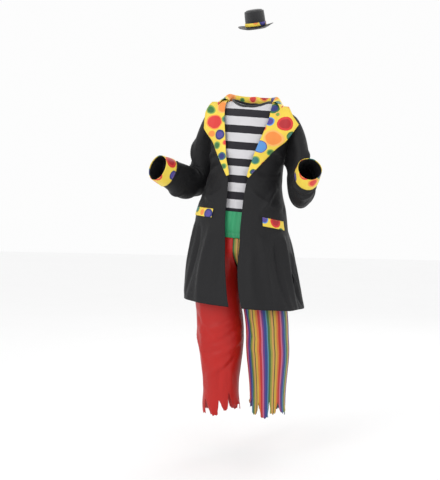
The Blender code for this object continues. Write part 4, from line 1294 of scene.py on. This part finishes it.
def turnedHat(name, profile, paint, nodeName, closeTop):
    # a closed outline of (out, up) turned about the hat's upright axis, then set on its tilt
    sides = hat["sides"]
    angle = 2 * math.pi * np.arange(sides)[None, :] / sides
    out, up = (np.array(values)[:, None] for values in zip(*profile))
    curl = hat["curl"] * smooth(out, hat["crown"], hat["brim"]) * (1 + np.cos(2 * angle)) / 2
    grid = np.stack([out * np.cos(angle), out * np.sin(angle), up + curl], -1)
    placed = Matrix.Rotation(math.radians(hat["lean"]), 3, "Y") @ Matrix.Rotation(math.radians(hat["tilt"]), 3, "X")
    grid = grid @ np.array(placed).T + np.array(hat["middle"]) - [0, 0, holdHeight]
    rows = len(profile)
    points = grid.reshape(-1, 3)
    faces = gridFaces(rows, sides, True).tolist()
    if closeTop:
        faces.append([(rows - 1) * sides + at for at in range(sides)])
        faces.append([at for at in reversed(range(sides))])
    else:
        faces += [[(rows - 1) * sides + at, (rows - 1) * sides + (at + 1) % sides, (at + 1) % sides, at]
                  for at in range(sides)]
    cut = np.stack(np.broadcast_arrays(angle * 0.045, up + 0 * angle), -1).reshape(-1, 2)
    piece = finishPiece(name, points, faces, cut, paint, [nodeName], thickness=0)
    cage = bmesh.new()
    cage.from_mesh(piece.data)
    bmesh.ops.recalc_face_normals(cage, faces=cage.faces)
    cage.to_mesh(piece.data)
    cage.free()
    return piece


def curvePoints(corners, count):
    # a smooth line through a few corners
    rows = table("order out up", *[(at, *corner) for at, corner in enumerate(corners)])
    keys = np.linspace(0, len(corners) - 1, count)
    return list(zip(read(rows, "out", keys).tolist(), read(rows, "up", keys).tolist()))


def makeHat():
    brim, crown, top, wall = hat["brim"], hat["crown"], hat["height"], hat["wall"]
    dish, flat = hat["dish"], hat["flat"]
    inside = curvePoints([
        (0.006, top - wall), (flat, top - wall - 0.0004), (crown - 0.008, top - 0.008), (crown - 0.004, top - 0.020),
        (crown - 0.003, 0.004), (crown + 0.004, -0.002), (dish, -wall), (brim - 0.001, -0.001),
    ], 44)
    outside = curvePoints([
        (brim, 0.002), (dish, 0.000), (crown + 0.003, 0.0018), (crown, 0.006), (crown - 0.001, top - 0.018),
        (crown - 0.006, top - 0.006), (flat, top - 0.0004), (0.006, top),
    ], 44)
    turnedHat("hat_felt", inside + outside, "blackFelt", "hat", True)
    low = crown + hat["bandGap"]
    band = [(low, 0.0075), (low + 0.0016, 0.0078), (low + 0.0022, 0.011), (low + 0.0022, 0.0185),
            (low + 0.0016, 0.0217), (low, 0.022)]
    piece = turnedHat("hat_band_cloth", band, "dottedCloth", "hat_band", False)


# stage

camera = {"azimuth": 17, "pitch": 3.0, "distance": 4.5, "pixelsPerMetre": 238, "middle": (-0.1345, -0.544)}


def makeStage():
    turn, pitch = math.radians(camera["azimuth"]), math.radians(camera["pitch"])
    across = Vector((math.cos(turn), math.sin(turn), 0))
    target = across * camera["middle"][0] + Vector((0, 0, camera["middle"][1]))
    back = Vector((math.sin(turn) * math.cos(pitch), -math.cos(turn) * math.cos(pitch), math.sin(pitch)))
    data = bpy.data.cameras.new("camera")
    eye = bpy.data.objects.new("camera", data)
    eye.location = target + back * camera["distance"]
    eye.rotation_euler = (-back).to_track_quat("-Z", "Y").to_euler()
    data.sensor_fit = "VERTICAL"
    data.sensor_height = 24
    data.lens = 24 / (480 / camera["pixelsPerMetre"] / camera["distance"])
    bpy.context.scene.collection.objects.link(eye)
    bpy.context.scene.camera = eye
    floorMesh = bpy.data.meshes.new("floor")
    wide = 12
    floorMesh.from_pydata([(-wide, -wide, 0), (wide, -wide, 0), (wide, wide, 0), (-wide, wide, 0)], [], [(0, 1, 2, 3)])
    floorMesh.transform(Matrix.Translation((0, 0, -holdHeight)))
    floor = bpy.data.objects.new("floor", floorMesh)
    bpy.context.scene.collection.objects.link(floor)
    pale = Finish("paleFloor", roughness=0.9, specular=0.2)
    floorMesh.materials.append(pale.dress(pale.blend(pale.noise(pale.objectPlace, 3.0), (0.94, 0.94, 0.94),
                                                     (0.96, 0.96, 0.96))))
    world = bpy.data.worlds.new("softRoom")
    bpy.context.scene.world = world
    world.use_nodes = True
    world.node_tree.nodes["Background"].inputs["Color"].default_value = (1, 1, 1, 1)
    world.node_tree.nodes["Background"].inputs["Strength"].default_value = 0.98
    lamps = table(
        "name place size power",
        ("key", (-1.5, -3.6, 1.0), 1.6, 36),
        ("fill", (2.8, -2.6, 0.4), 2.2, 9),
        ("back", (0.6, 3.0, 1.6), 2.0, 16),
    )
    for lamp in lamps:
        light = bpy.data.lights.new(lamp.name, "AREA")
        light.size, light.energy = lamp.size, lamp.power
        body = bpy.data.objects.new(lamp.name, light)
        body.location = lamp.place
        body.rotation_euler = (Vector((0, 0, -0.5)) - Vector(lamp.place)).to_track_quat("-Z", "Y").to_euler()
        bpy.context.scene.collection.objects.link(body)
    bpy.context.scene.view_settings.view_transform = "Standard"


makeStage()
print("camera, floor and lights are set")
coatBack()
for side in ("right", "left"):
    coatFront(side)
    makeSleeve(side)
    makeCuff(side)
    makeLapel(side)
    makePocket(side)
print("coat is made")
makeCollar()
makeShirt("front")
makeShirt("back")
makeBinding()
makeWaistband()
print("shirt and waistband are made")
for side in ("right", "left"):
    makeTrouser(side, "front")
    makeTrouser(side, "back")
print("trousers are made")
makeHat()
print("hat is made")
